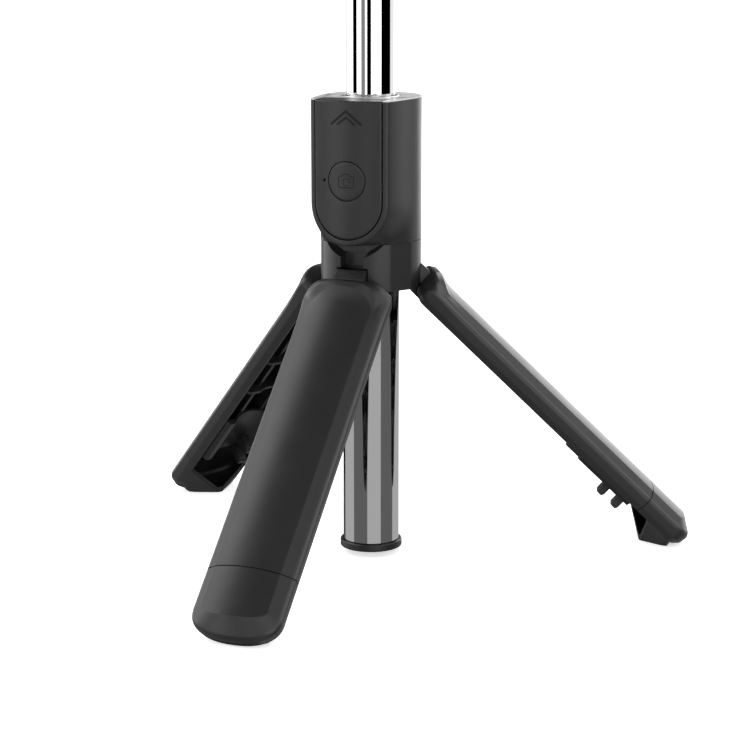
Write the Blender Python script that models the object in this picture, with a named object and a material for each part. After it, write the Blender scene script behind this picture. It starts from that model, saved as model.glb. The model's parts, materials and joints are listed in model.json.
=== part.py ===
"""Selfie stick: a telescopic pole on three folding legs, with a camera remote and a phone clamp.

The stick stands on its open legs, with the pole drawn out a little. Sizes are in millimetres, and
Skin.build() turns them into metres. The origin is the centre of the base cap's underside, on the
pole's axis. +Z runs up the pole, and the remote faces -Y.
"""

import math

import bmesh
import bpy

MM = 0.001
GAP = 0.3
WELD = 4
SMOOTH_ANGLE = math.radians(35)

# Pole: each section is (outer radius, length, how far its top stands above the section outside it at rest)
WALL = 0.45
OUTER_RADIUS = 8.88
SECTIONS = [(7.6, 134, 48), (6.45, 131, 14), (5.35, 128, 14), (4.3, 125, 14), (3.3, 122, 14)]
TUBE_STEPS = 32
GLIDE_STEPS = 16

# Base cap under the outer tube
CAP_RADIUS = 9.86
CAP_THICKNESS = 2.3
CAP_PLUG_TOP = 8.3

# Handle housing, round at the back and gently bowed at the front
BODY_TOP = 144.3
BODY_BOTTOM = 99.95
BODY_RADIUS = 15.8
FRONT_CORNER_Y = 17.2
FRONT_BOW = 2.5
FRONT_HALF_WIDTH = 12.74
TOP_PLATE_THICKNESS = 1.6
TOP_WALL = 1.8
BORE_RADIUS = 9.2

# Remote and its U-shaped dock: the U's round end is centred at U_CENTRE
U_CENTRE = 112.9
DOCK_HALF_WIDTH = 11.25
DOCK_BACK_Y = 10.1
REMOTE_HALF_WIDTH = 10.95
REMOTE_SPLIT_Y = 13.4
REMOTE_WALL = 1.2
BUTTON_Z = 119.75
BUTTON_RADIUS = 5.95
BUTTON_BACK_Y = 15.9
BUTTON_CLEARANCE = 0.2
LED_X = -7.5

# Hub that carries the legs
HUB_BOTTOM = 85.1
HUB_TOP = 99.65
HUB_FACE_HALF_ANGLE = 47
SLOT_HALF_WIDTH = 5.15
SLOT_TOP = 92.5
SLOT_BACK = 9.9
PIN_RADIUS = 1.0
PIN_Z = 89.07
PIN_REACH = 11.5
PIN_HALF_LENGTH = 9.0
NECK_HALF_WIDTH = 3.8
NECK_HEIGHT = 4.5
NECK_BACK = 10.9
SCOOP_RADIUS = 12.25
SCOOP_DROP = 4.4
SCOOP_DEPTH = 2.7
KNUCKLE_ROOM_RADIUS = 2.8
SCREW_AZIMUTHS = {"back": 180, "right": 60, "left": 300}
SCREW_REACH = 12.3
SCREW_HEAD_RADIUS = 1.6
SCREW_SHANK_RADIUS = 0.8
SCREW_LENGTH = 10.0

# Legs, drawn closed against the pole: u runs across, v outwards from the pole, a down from the hinge pin
LEG_SPREAD = 45.5
LEG_AZIMUTHS = {"front": 0, "right": 120, "left": 240}
LEG_HALF_WIDTH = 14.15
LEG_LIP_V = 7.4
LEG_LIP_INSET = 1.95
LEG_LIP_THICKNESS = 0.45
LEG_EDGE_V = 12.2
LEG_CREST_V = 17.4
LEG_BOW = 0.018
LEG_TOP_A = 4.6
LEG_TOP_DEPTH = 6.4
LEG_TOP_POWER = 4.3
LEG_TIP_A = 128.0
LEG_TIP_DEPTH = 8.8
LEG_TIP_LIP = 2.5
LEG_SEAM_A = 106.6
LEG_WALL = 1.6
PANEL_HALF_WIDTH = 10.2
PANEL_TOP_CENTRE = 15.2
PANEL_TOP_DEPTH = 6.6
PANEL_TIP_DEPTH = 3.15
BROW_RISE = 1.25
BROW_LENGTH = 5.5
TONGUE_HALF_WIDTH = 4.85
FOOT_APEX_A = 118.86
FOOT_BACK_SLOPE = 1.05
FOOT_WALL = 0.9
CRADLE_RADIUS = 10.2
CRADLE_WALL = 1.2
CRADLE_START = 81.0
CRADLE_LIP_V = 6.2
CRADLE_FLANGE_V = 8.2
ARCH_PLACES = (24.2, 47.3, 64.5)
PEG_PLACES = (95, 101.5)
RIB_START, RIB_END = 23.6, 104

# Phone clamp and its swivel head, measured up from the top of the thinnest section
CLAMP_HALF_WIDTH = 11
CLAMP_HALF_DEPTH = 4.5
CLAMP_LIP_Y = 16
CLAMP_LIP_INNER_Y = 14.2
CLAMP_BODY_HEIGHT = 50
CLAMP_GRIP = 62
CLAMP_HEIGHT = 66
ROD_X = 6
TILT_AXIS_RISE = 17.5
CLAMP_RISE = 24
COVER_SCREWS = {"lower": 11, "upper": 39}

POLE_TOP = BODY_TOP + sum(rise for _, _, rise in SECTIONS)
TILT_Z = POLE_TOP + TILT_AXIS_RISE
CLAMP_Z = POLE_TOP + CLAMP_RISE


class Skin:
    """A surface made point by point. Equal points are shared, and faces with no width are left out."""

    def __init__(self):
        self.points = []
        self.number = {}
        self.faces = []

    def point(self, xyz):
        key = tuple(round(c, WELD) for c in xyz)
        if key not in self.number:
            self.number[key] = len(self.points)
            self.points.append(key)
        return self.number[key]

    def face(self, *corners):
        ring = []
        for corner in corners:
            number = self.point(corner)
            if number not in ring:
                ring.append(number)
        if len(ring) > 2:
            self.faces.append(ring)

    def strip(self, one, other):
        for i in range(len(one) - 1):
            self.face(one[i], one[i + 1], other[i + 1], other[i])

    def grid(self, rows, closed=False):
        pairs = zip(rows, rows[1:] + rows[:1]) if closed else zip(rows, rows[1:])
        for one, other in pairs:
            self.strip(one, other)

    def build(self, name, material, parent=None):
        """Make the object, with its faces turned outwards, in metres."""
        mesh = bpy.data.meshes.new(name)
        mesh.from_pydata([[c * MM for c in p] for p in self.points], [], self.faces)
        solid = bmesh.new()
        solid.from_mesh(mesh)
        bmesh.ops.recalc_face_normals(solid, faces=solid.faces)
        solid.to_mesh(mesh)
        solid.free()
        mesh.shade_smooth()
        mesh.set_sharp_from_angle(angle=SMOOTH_ANGLE)
        thing = bpy.data.objects.new(name, mesh)
        bpy.context.scene.collection.objects.link(thing)
        if material:
            mesh.materials.append(material)
        thing.parent = parent
        return thing


# ---------------------------------------------------------------- basic solids

def upright(p, q, h):
    return (p, q, h)


def along_x(p, q, h):
    return (h, p, q)


def along_y(p, q, h):
    return (p, h, q)


def in_leg(p, q, h):
    """A point of a closed leg, as (a, v, u), seen from its hinge pin."""
    return (h, PIN_REACH - q, -p)


def extrude(name, outline, low, high, place=upright, material=None, parent=None):
    """A flat outline of (p, q) points, stretched from low to high."""
    skin = Skin()
    ends = [[place(p, q, h) for p, q in outline] for h in (low, high)]
    skin.face(*ends[0])
    skin.face(*ends[1])
    skin.strip(ends[0] + ends[0][:1], ends[1] + ends[1][:1])
    return skin.build(name, material, parent)


def box(name, low, high, material=None, parent=None):
    corners = [(low[0], low[1]), (high[0], low[1]), (high[0], high[1]), (low[0], high[1])]
    return extrude(name, corners, low[2], high[2], material=material, parent=parent)


def turn(name, profile, steps, centre=(0, 0), place=upright, closed=True, material=None, parent=None):
    """A profile of (radius, height) points turned round an axis. A closed profile makes a ring."""
    skin = Skin()
    loop = profile + profile[:1] if closed else profile
    rows = []
    for i in range(steps):
        angle = 2 * math.pi * i / steps
        side = (math.cos(angle), math.sin(angle))
        rows.append([place(centre[0] + r * side[0], centre[1] + r * side[1], h) for r, h in loop])
    skin.grid(rows, closed=True)
    return skin.build(name, material, parent)


def rod(name, radius, low, high, steps=16, centre=(0, 0), place=upright, material=None, parent=None):
    """A plain round bar."""
    profile = [(0, low), (radius, low), (radius, high), (0, high)]
    return turn(name, profile, steps, centre, place, False, material, parent)


def tray(name, outer, inner, material, parent=None, closed_start=False, closed_end=False):
    """A shell between an outer and an inner sheet, joined round their rims.

    A sheet is a list of rows. closed_start or closed_end says that the first or last row folds onto itself.
    """
    skin = Skin()
    skin.grid(outer)
    skin.grid(inner)
    skin.strip([row[0] for row in outer], [row[0] for row in inner])
    skin.strip([row[-1] for row in outer], [row[-1] for row in inner])
    if not closed_start:
        skin.strip(outer[0], inner[0])
    if not closed_end:
        skin.strip(outer[-1], inner[-1])
    return skin.build(name, material, parent)


def boolean(target, tool, operation):
    change = target.modifiers.new(tool.name, "BOOLEAN")
    change.operation = operation
    change.object = tool
    tool.hide_render = True
    tool.display_type = "WIRE"


def cut(target, *tools):
    for tool in tools:
        boolean(target, tool, "DIFFERENCE")


def fuse(target, *tools):
    for tool in tools:
        boolean(target, tool, "UNION")


def arc(radius, start, end, steps, centre=(0, 0)):
    """Points from the start angle to the end angle, in degrees."""
    angles = [math.radians(start + (end - start) * i / steps) for i in range(steps + 1)]
    return [(centre[0] + radius * math.cos(t), centre[1] + radius * math.sin(t)) for t in angles]


def compass(radius, azimuth):
    """A plan point at an azimuth in degrees, counted from the front, -Y, towards +X."""
    angle = math.radians(azimuth)
    return (radius * math.sin(angle), -radius * math.cos(angle))


def empty(name, location, rotation):
    """A joint's frame: the pieces on it are its children."""
    frame = bpy.data.objects.new(name, None)
    frame.location = [c * MM for c in location]
    frame.rotation_euler = [math.radians(angle) for angle in rotation]
    bpy.context.scene.collection.objects.link(frame)
    return frame


def material(name, colour, roughness, metallic=0.0):
    look = bpy.data.materials.new(name)
    look.use_nodes = True
    shader = look.node_tree.nodes["Principled BSDF"]
    shader.inputs["Base Color"].default_value = (*colour, 1)
    shader.inputs["Roughness"].default_value = roughness
    shader.inputs["Metallic"].default_value = metallic
    return look


# ---------------------------------------------------------------- handle housing and dock

def front_y(x):
    """Depth of the bowed front face at x."""
    return FRONT_CORNER_Y + FRONT_BOW * (1 - (x / FRONT_HALF_WIDTH) ** 2)


def u_half_width(z, half_width, drop):
    """Half the width of a U at height z: straight sides over a round end that reaches drop below U_CENTRE."""
    if z >= U_CENTRE:
        return half_width
    return half_width * math.sqrt(max(0.0, 1 - ((U_CENTRE - z) / drop) ** 2))


def u_levels(top, drop, steps):
    """Heights that follow the U's round end evenly, then go straight to the top."""
    curve = [U_CENTRE - drop * math.cos(math.pi / 2 * i / steps) for i in range(steps + 1)]
    return curve + [top]


def body_outline(half_width, front_steps=6, back_steps=26):
    """Plan outline: a bowed front of the given half width, flat flanks and a round back."""
    corner = (half_width, -front_y(half_width))
    reach = math.hypot(*corner)
    corner_azimuth = math.degrees(math.atan2(corner[0], -corner[1]))
    flank_azimuth = corner_azimuth + math.degrees(math.acos(BODY_RADIUS / reach))
    front = [half_width * (2 * i / front_steps - 1) for i in range(front_steps + 1)]
    outline = [(x, -front_y(x)) for x in front]
    for i in range(back_steps + 1):
        outline.append(compass(BODY_RADIUS, flank_azimuth + (360 - 2 * flank_azimuth) * i / back_steps))
    return outline


def body_housing(plastic):
    """Outer skin drawn level by level, then hollowed behind the dock and opened for the pole and remote."""
    levels = u_levels(BODY_TOP - TOP_PLATE_THICKNESS - GAP, U_CENTRE - BODY_BOTTOM, 8)
    skin = Skin()
    rows = []
    for z in levels:
        outline = body_outline(u_half_width(z, FRONT_HALF_WIDTH, U_CENTRE - BODY_BOTTOM))
        rows.append([(x, y, z) for x, y in outline + outline[:1]])
    skin.grid(rows)
    skin.face(*rows[0][:-1])
    skin.face(*rows[-1][:-1])
    housing = skin.build("body_housing", plastic)
    inner = BODY_RADIUS - 1.6
    wall_y = DOCK_BACK_Y - 0.7
    half_angle = math.degrees(math.asin(wall_y / inner))
    hollow = extrude("cut_hollow", arc(inner, -half_angle, 180 + half_angle, 24), BODY_BOTTOM - 5,
                     levels[-1] - TOP_WALL)
    bore = rod("cut_body_bore", BORE_RADIUS, BODY_BOTTOM, BODY_TOP, TUBE_STEPS)
    cut(housing, hollow, bore, dock_cutter("cut_dock"))
    return housing


def dock_cutter(name):
    """The space that the remote slides in, open at the front and the top."""
    round_end = arc(DOCK_HALF_WIDTH, 180, 360, 16, (0, U_CENTRE))
    outline = [(-DOCK_HALF_WIDTH, BODY_TOP + 5)] + round_end + [(DOCK_HALF_WIDTH, BODY_TOP + 5)]
    return extrude(name, outline, -DOCK_BACK_Y - 15, -DOCK_BACK_Y, along_y)


def top_plate(satin):
    plate = extrude("top_plate", body_outline(FRONT_HALF_WIDTH), BODY_TOP - TOP_PLATE_THICKNESS, BODY_TOP,
                    material=satin)
    cut(plate, rod("cut_plate_bore", BORE_RADIUS, BODY_TOP - 5, BODY_TOP + 5, TUBE_STEPS))
    cut(plate, dock_cutter("cut_plate_dock"))
    for side, name in ((-1, "left"), (1, "right")):
        outer = [compass(14.1, side * (60 + 4 * i)) for i in range(6)]
        inner = [compass(12.3, side * (60 + 4 * i)) for i in range(6)]
        cut(plate, extrude("cut_plate_slot_" + name, outer + inner[::-1], BODY_TOP - 5, BODY_TOP + 5))
    return plate


# ---------------------------------------------------------------- hub, base cap and pole

def hub_scoop(steps=40):
    """A cutter for the finger scoop under the dock: a shallow bowl that follows the hub's round face."""
    centre_z = HUB_TOP + SCOOP_RADIUS - SCOOP_DROP
    profile = [(0, 3.0), (SCOOP_RADIUS + 1.2, 3.0), (SCOOP_RADIUS, 0), (SCOOP_RADIUS - 1.7, -SCOOP_DEPTH),
               (0, -SCOOP_DEPTH)]
    rows = []
    for i in range(steps):
        angle = 2 * math.pi * i / steps
        row = []
        for radius, out in profile:
            x = radius * math.cos(angle)
            face = math.sqrt(max(0.0, BODY_RADIUS ** 2 - x ** 2))
            row.append((x, -(face + out), centre_z + radius * math.sin(angle)))
        rows.append(row)
    skin = Skin()
    skin.grid(rows, closed=True)
    return skin.build("cut_hub_scoop", None)


def leg_hub(plastic):
    """Three round faces, one for each leg, with flat facets between them."""
    outline = []
    for azimuth in LEG_AZIMUTHS.values():
        half = HUB_FACE_HALF_ANGLE
        outline += [compass(BODY_RADIUS, azimuth - half + 2 * half * i / 8) for i in range(9)]
    hub = extrude("leg_hub", outline, HUB_BOTTOM, HUB_TOP, material=plastic)
    cut(hub, rod("cut_hub_bore", BORE_RADIUS, HUB_BOTTOM - 5, HUB_TOP + 5, TUBE_STEPS))
    cut(hub, hub_scoop())
    for name, azimuth in LEG_AZIMUTHS.items():
        frame = empty("hub_slot_" + name, (0, 0, 0), (0, 0, azimuth))
        pin = (-PIN_REACH, PIN_Z)
        slot = box("cut_slot_" + name, (-SLOT_HALF_WIDTH, -20, HUB_BOTTOM - 5),
                   (SLOT_HALF_WIDTH, -SLOT_BACK, SLOT_TOP), parent=frame)
        neck = box("cut_slot_neck_" + name, (-NECK_HALF_WIDTH, -20, SLOT_TOP - 1),
                   (NECK_HALF_WIDTH, -NECK_BACK, SLOT_TOP + NECK_HEIGHT), parent=frame)
        room_half = SLOT_HALF_WIDTH - 0.1
        room = rod("cut_knuckle_room_" + name, KNUCKLE_ROOM_RADIUS, -room_half, room_half, 20, pin, along_x,
                   parent=frame)
        hole_half = PIN_HALF_LENGTH + GAP
        hole = rod("cut_pin_hole_" + name, PIN_RADIUS + 0.1, -hole_half, hole_half, 16, pin, along_x,
                   parent=frame)
        cut(hub, slot, neck, room, hole)
    for azimuth in SCREW_AZIMUTHS.values():
        tag = str(azimuth)
        place = compass(SCREW_REACH, azimuth)
        head, shank = SCREW_HEAD_RADIUS + GAP, SCREW_SHANK_RADIUS + GAP
        cut(hub, rod("cut_screw_head_" + tag, head, HUB_BOTTOM - 1, HUB_BOTTOM + 2, 16, place))
        cut(hub, rod("cut_screw_shank_" + tag, shank, HUB_BOTTOM, HUB_TOP - 2, 16, place))
    return hub


def hub_screws(steel):
    for name, azimuth in SCREW_AZIMUTHS.items():
        low = HUB_BOTTOM + 0.2
        high = low + SCREW_LENGTH
        head, shank = SCREW_HEAD_RADIUS, SCREW_SHANK_RADIUS
        profile = [(0, low), (head, low), (head, low + 1.4), (shank, low + 1.6), (shank, high), (0, high)]
        place = compass(SCREW_REACH, azimuth)
        screw = turn("hub_screw_" + name, profile, 12, place, closed=False, material=steel)
        cross = box("cut_driver_" + name, (-1, -0.2, low - 1), (1, 0.2, low + 0.6))
        cross.location = [c * MM for c in (*place, 0)]
        cut(screw, cross)


def hinge_pins(steel):
    for name, azimuth in LEG_AZIMUTHS.items():
        frame = empty("pin_frame_" + name, (0, 0, 0), (0, 0, azimuth))
        pin = (-PIN_REACH, PIN_Z)
        rod("leg_pin_" + name, PIN_RADIUS, -PIN_HALF_LENGTH, PIN_HALF_LENGTH, 12, pin, along_x, steel, frame)


def tube(name, radius, low, high, chrome):
    """A thin round tube with its top rolled slightly inwards."""
    inner = radius - WALL
    profile = [(inner, low), (radius, low), (radius, high - 0.3), (radius - 0.2, high), (inner, high)]
    return turn(name, profile, TUBE_STEPS, material=chrome)


def base_cap(plastic):
    plug = OUTER_RADIUS - WALL - GAP
    bore = plug - 1.5
    rim, top = CAP_RADIUS, CAP_THICKNESS
    profile = [(0, 0), (rim - 0.3, 0), (rim, 0.3), (rim, top - 0.3), (rim - 0.3, top), (plug, top),
               (plug, CAP_PLUG_TOP), (bore, CAP_PLUG_TOP), (bore, top), (0, top)]
    return turn("base_cap", profile, TUBE_STEPS, closed=False, material=plastic)


def tube_bush(plastic):
    """The ring that guides the second section at the mouth of the outer tube."""
    outer = OUTER_RADIUS - WALL - 0.15
    inner = SECTIONS[0][0] + 0.15
    low, high = BODY_TOP - 6, BODY_TOP - 0.2
    profile = [(inner, low), (outer, low), (outer, high), (inner, high)]
    return turn("tube_bush", profile, TUBE_STEPS, material=plastic)


def pole(chrome, plastic):
    """The outer tube and the sliding sections, each with a glide plugged into its foot."""
    tube("outer_tube", OUTER_RADIUS, CAP_THICKNESS + GAP, BODY_TOP + 0.1, chrome)
    top = BODY_TOP
    outside = OUTER_RADIUS
    for number, (radius, length, rise) in enumerate(SECTIONS, start=2):
        top += rise
        foot = top - length
        tube(f"pole_tube_{number}", radius, foot, top, chrome)
        collar = outside - WALL - 0.2
        spigot = radius - WALL - 0.15
        bore = spigot - 1.2
        profile = [(bore, foot - 2.6), (collar, foot - 2.6), (collar, foot - 0.15), (spigot, foot - 0.15),
                   (spigot, foot + 2.5), (bore, foot + 2.5)]
        turn(f"pole_glide_{number}", profile, GLIDE_STEPS, material=plastic)
        outside = radius


# ---------------------------------------------------------------- remote

def remote_rows(half_width, drop, top, back, inset, steps=8, across=8):
    """Rows of the remote's skin, from its round end up: back edge, bowed front, back edge."""
    rows = []
    for z in u_levels(top, drop, steps):
        w = u_half_width(z, half_width, drop)
        xs = [w * (2 * i / across - 1) for i in range(across + 1)]
        front = [(x, -(front_y(x) - inset), z) for x in xs]
        rows.append([(-w, -back, z)] + front + [(w, -back, z)])
    return rows


def remote_front_shell(plastic):
    top = BODY_TOP - 0.2
    outer = remote_rows(REMOTE_HALF_WIDTH, REMOTE_HALF_WIDTH, top, REMOTE_SPLIT_Y, 0)
    outer.append([(x, -REMOTE_SPLIT_Y, z) for x, _, z in outer[-1]])
    inner_half = REMOTE_HALF_WIDTH - REMOTE_WALL
    inner = remote_rows(inner_half, inner_half, top - REMOTE_WALL, REMOTE_SPLIT_Y, REMOTE_WALL)
    inner.append([(x, -REMOTE_SPLIT_Y, z) for x, _, z in inner[-1]])
    shell = tray("remote_front_shell", outer, inner, plastic, closed_start=True)
    hole = rod("cut_button_hole", BUTTON_RADIUS + BUTTON_CLEARANCE, -25, -REMOTE_SPLIT_Y, 32, (0, BUTTON_Z),
               along_y)
    light = rod("cut_led_hole", 0.5, -25, -REMOTE_SPLIT_Y, 12, (LED_X, BUTTON_Z), along_y)
    cut(shell, hole, light)
    return shell


def remote_back_cover(plastic):
    top = BODY_TOP - 0.2
    low, high = DOCK_BACK_Y + GAP, REMOTE_SPLIT_Y - 0.2
    w = REMOTE_HALF_WIDTH
    outline = [(-w, top)] + arc(w, 180, 360, 16, (0, U_CENTRE)) + [(w, top)]
    cover = extrude("remote_back_cover", outline, -high, -low, along_y, plastic)
    w -= REMOTE_WALL
    pocket = [(-w, top - REMOTE_WALL)] + arc(w, 180, 360, 16, (0, U_CENTRE)) + [(w, top - REMOTE_WALL)]
    cut(cover, extrude("cut_back_pocket", pocket, -high - 5, -low - 1.2, along_y))
    return cover


def remote_inside(board, steel, light):
    """Circuit board with its dome switch and light, and the coin cell with its contact above them."""
    w = 8.6
    outline = [(-w, 124.4)] + arc(w, 180, 360, 12, (0, U_CENTRE)) + [(w, 124.4)]
    extrude("remote_circuit_board", outline, -14.2, -13.2, along_y, board)
    rod("remote_dome_switch", 2.4, -15.15, -14.35, 16, (0, BUTTON_Z), along_y, steel)
    rod("remote_status_light", 0.9, -16.2, -14.35, 12, (LED_X, BUTTON_Z), along_y, light)
    rod("remote_coin_cell", 8.0, -15.2, -12.0, 28, (0, 133.2), along_y, steel)
    wide, narrow, foot, head = 9.2, 8.4, 124.9, 142
    clip = [(-wide, foot), (wide, foot), (wide, head), (narrow, head), (narrow, foot + 0.2),
            (-narrow, foot + 0.2), (-narrow, head), (-wide, head)]
    extrude("remote_battery_contact", clip, -14.8, -12.4, along_y, steel)


def shutter_button(rubber, parent):
    """A round cap whose face follows the bowed front, with a short stem behind it."""
    skin = Skin()
    steps = 28
    rows = []
    for i in range(steps):
        angle = 2 * math.pi * i / steps
        row = []
        for r in (0, 0.5 * BUTTON_RADIUS, BUTTON_RADIUS - 0.2):
            x = r * math.cos(angle)
            row.append((x, -front_y(x), r * math.sin(angle)))
        edge = BUTTON_RADIUS * math.cos(angle)
        row.append((edge, -front_y(edge) + 0.2, BUTTON_RADIUS * math.sin(angle)))
        rim_y = BUTTON_BACK_Y + 0.6
        for r, y in ((BUTTON_RADIUS, rim_y), (1.5, rim_y), (1.5, BUTTON_BACK_Y), (0, BUTTON_BACK_Y)):
            row.append((r * math.cos(angle), -y, r * math.sin(angle)))
        rows.append(row)
    skin.grid(rows, closed=True)
    return skin.build("shutter_button", rubber, parent)


# ---------------------------------------------------------------- legs

def leg_outline(inset, steps, stations):
    """Right half of a leg in plan, from its squarish top to its round tip.

    Each entry is (u, a) on the outer rim, (u, a) on the panel's border, the inward direction and the share of top.
    """
    half = LEG_HALF_WIDTH - inset
    panel = PANEL_HALF_WIDTH - 0.3 * inset
    top_centre, tip_centre = LEG_TOP_A + LEG_TOP_DEPTH, LEG_TIP_A - LEG_TIP_DEPTH
    entries = []
    for i in range(steps + 1):
        angle = math.pi / 2 * i / steps
        across, down = math.sin(angle), max(0.0, math.cos(angle))
        squared = [share ** (2 / LEG_TOP_POWER) for share in (across, down)]
        rim = (half * squared[0], top_centre - (LEG_TOP_DEPTH - inset) * squared[1])
        border = (panel * across, PANEL_TOP_CENTRE - (PANEL_TOP_DEPTH - 0.2 * inset) * down)
        entries.append((rim, border, (-across, down), down ** 2))
    for a in stations:
        entries.append(((half, a), (panel, a), (-1, 0), 0))
    for i in range(steps + 1):
        angle = math.pi / 2 * (1 - i / steps)
        across, down = math.sin(angle), math.cos(angle)
        rim = (half * across, tip_centre + (LEG_TIP_DEPTH - inset) * down)
        border = (panel * across, tip_centre + (PANEL_TIP_DEPTH - 0.3 * inset) * down)
        entries.append((rim, border, (-across, -down), 0))
    return entries


def panel_v(u, a):
    """Height of the bowed panel, which rises into a brow at the leg's top."""
    share = min(1.0, abs(u) / PANEL_HALF_WIDTH)
    border = PANEL_TOP_CENTRE - PANEL_TOP_DEPTH * math.sqrt(1 - share ** 2)
    fade = max(0.0, 1 - max(0.0, a - border) / BROW_LENGTH) ** 2
    return LEG_CREST_V - LEG_BOW * u ** 2 + BROW_RISE * (1 - share ** 2) * fade


def leg_rows(inset, steps=6, stations=(), across=6):
    """Rows of a leg's skin, from its top to its round tip. Each runs from one open lip over to the other."""
    rows = []
    for rim, border, inward, top in leg_outline(inset, steps, stations):
        tip = inward[1] ** 2 if inward[1] < 0 else 0.0
        lip = LEG_LIP_INSET + (LEG_TIP_LIP - LEG_LIP_INSET) * tip
        if inset:
            lip += LEG_LIP_THICKNESS - inset
        border_v = panel_v(*border) - inset
        rise = border_v - LEG_EDGE_V
        # Distance in from the rim and v, on the leg's sides and then at its top
        under = [
            (lip, LEG_LIP_V, 2.6, 7.9),
            (0.5 - 0.12 * inset, 9.2 - 0.3 * inset, 1.9, 9.5),
            (0, LEG_EDGE_V - 0.15 * inset, 0.7, 13.0),
        ]
        # Share of the way from the rim to the panel's border and v, on the sides and then at the top
        over = [
            (0.4, LEG_EDGE_V + 0.5 * rise, 0.18, 16.4 - inset),
            (0.7, LEG_EDGE_V + 0.76 * rise, 0.25, 18.5 - inset),
            (1, border_v, 1, border_v),
        ]
        side = []
        for side_in, side_v, top_in, top_v in under:
            distance = side_in + (top_in - side_in) * top
            side.append((max(0.0, rim[0] + inward[0] * distance), side_v + (top_v - side_v) * top,
                         rim[1] + inward[1] * distance))
        for side_in, side_v, top_in, top_v in over:
            share = side_in + (top_in - side_in) * top
            side.append((rim[0] + (border[0] - rim[0]) * share, side_v + (top_v - side_v) * top,
                         rim[1] + (border[1] - rim[1]) * share))
        panel_us = [border[0] * (1 - 2 * i / across) for i in range(1, across)]
        panel = [(p, panel_v(p, border[1]) - inset, border[1]) for p in panel_us]
        left = [(-p, v, b) for p, v, b in reversed(side)]
        rows.append([in_leg(b, v, p) for p, v, b in side + panel + left])
    return rows


def leg_shell(name, plastic, pivot):
    """The long channel that wraps round the pole, open on its inner side."""
    seam = LEG_SEAM_A - 0.15
    outer = leg_rows(0, stations=(40, 73, seam))[:10]
    inner = leg_rows(LEG_WALL, stations=(40, 73, seam))[:10]
    shell = tray(f"leg_{name}_shell", outer, inner, plastic, pivot, closed_start=True)
    half = SLOT_HALF_WIDTH
    mouth = box(f"cut_leg_{name}_mouth", (-half, PIN_REACH - 16.75, -12), (half, PIN_REACH - 5, -3),
                parent=pivot)
    notch = rod(f"cut_leg_{name}_notch", 9.5, -30, 5, 28, (0, PIN_REACH), parent=pivot)
    cut(shell, mouth, notch)
    return shell


def foot_half_width(a, v):
    """Half the width of the foot at a and v. It follows the leg's rounded tip and goes a little into its wall."""
    above_lip = max(0.0, v - LEG_LIP_V)
    side_inset = max(0.9, LEG_LIP_INSET + 0.3 - 0.8 * above_lip)
    tip_inset = max(0.9, LEG_TIP_LIP + 0.3 - 1.1 * above_lip)
    beyond = max(0.0, a - (LEG_TIP_A - LEG_TIP_DEPTH)) / (LEG_TIP_DEPTH - tip_inset)
    return (LEG_HALF_WIDTH - side_inset) * math.sqrt(max(0.0, 1 - beyond ** 2))


def foot_wedge(name, levels, wall=0.0, reach=0.0, pivot=None):
    """The foot's wedge. With a wall it is the pocket inside it, which opens out through the back slope."""
    skin = Skin()
    rows = []
    for v in levels:
        side = (v - 0.2) * math.tan(math.radians(60)) - 2 * wall
        below = min(v, 7.9) - 0.66
        start = FOOT_APEX_A - below * FOOT_BACK_SLOPE - reach
        sole = FOOT_APEX_A + below * math.tan(math.radians(LEG_SPREAD)) - 1.4 * wall
        downs = [start + (sole - start) * i / 5 for i in range(6)]
        halves = [max(0.0, min(side, foot_half_width(a, v) - wall)) for a in downs]
        right = [in_leg(a, v, half) for a, half in zip(downs, halves)]
        left = [(-u, y, z) for u, y, z in reversed(right)]
        rows.append(right + left)
    skin.grid([row + row[:1] for row in rows])
    skin.face(*rows[0])
    skin.face(*rows[-1])
    return skin.build(name, None, pivot)


def leg_foot_cap(name, rubber, pivot):
    """The hollow end of the leg, with a wedge foot that is flat on the ground when the leg is open."""
    seam = LEG_SEAM_A + 0.15
    outer = leg_rows(0, stations=(seam,))[7:]
    inner = leg_rows(LEG_WALL, stations=(seam,))[7:]
    cap = tray(f"leg_{name}_foot_cap", outer, inner, rubber, pivot, closed_end=True)
    wedge = foot_wedge(f"join_leg_{name}_wedge", (0.66, 3.2, 5.6, 7.2, 8.4, 9.6), pivot=pivot)
    fuse(cap, wedge)
    pocket = foot_wedge(f"cut_leg_{name}_pocket", (1.9, 3.2, 5.6, 7.2, 8.4, 10.2), FOOT_WALL, 8, pivot)
    cut(cap, pocket)
    return cap


def leg_tongue(name, plastic, pivot):
    """The hinge bracket: a knuckle on the pin, and a tail that is fixed inside the shell."""
    knuckle = arc(2.1, 270, 110, 8, (0, PIN_REACH))
    tail = [(0.55, 16.3), (4.7, 16.5), (7.2, 14.6), (23, 14.6), (23, 12.2), (8, 10.3), (1.9, 10.3)]
    half = TONGUE_HALF_WIDTH
    tongue = extrude(f"leg_{name}_hinge_tongue", knuckle + tail, -half, half, in_leg, plastic, pivot)
    cut(tongue, rod(f"cut_leg_{name}_eye", PIN_RADIUS + 0.15, -20, 20, 16, place=along_x, parent=pivot))
    return tongue


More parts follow.
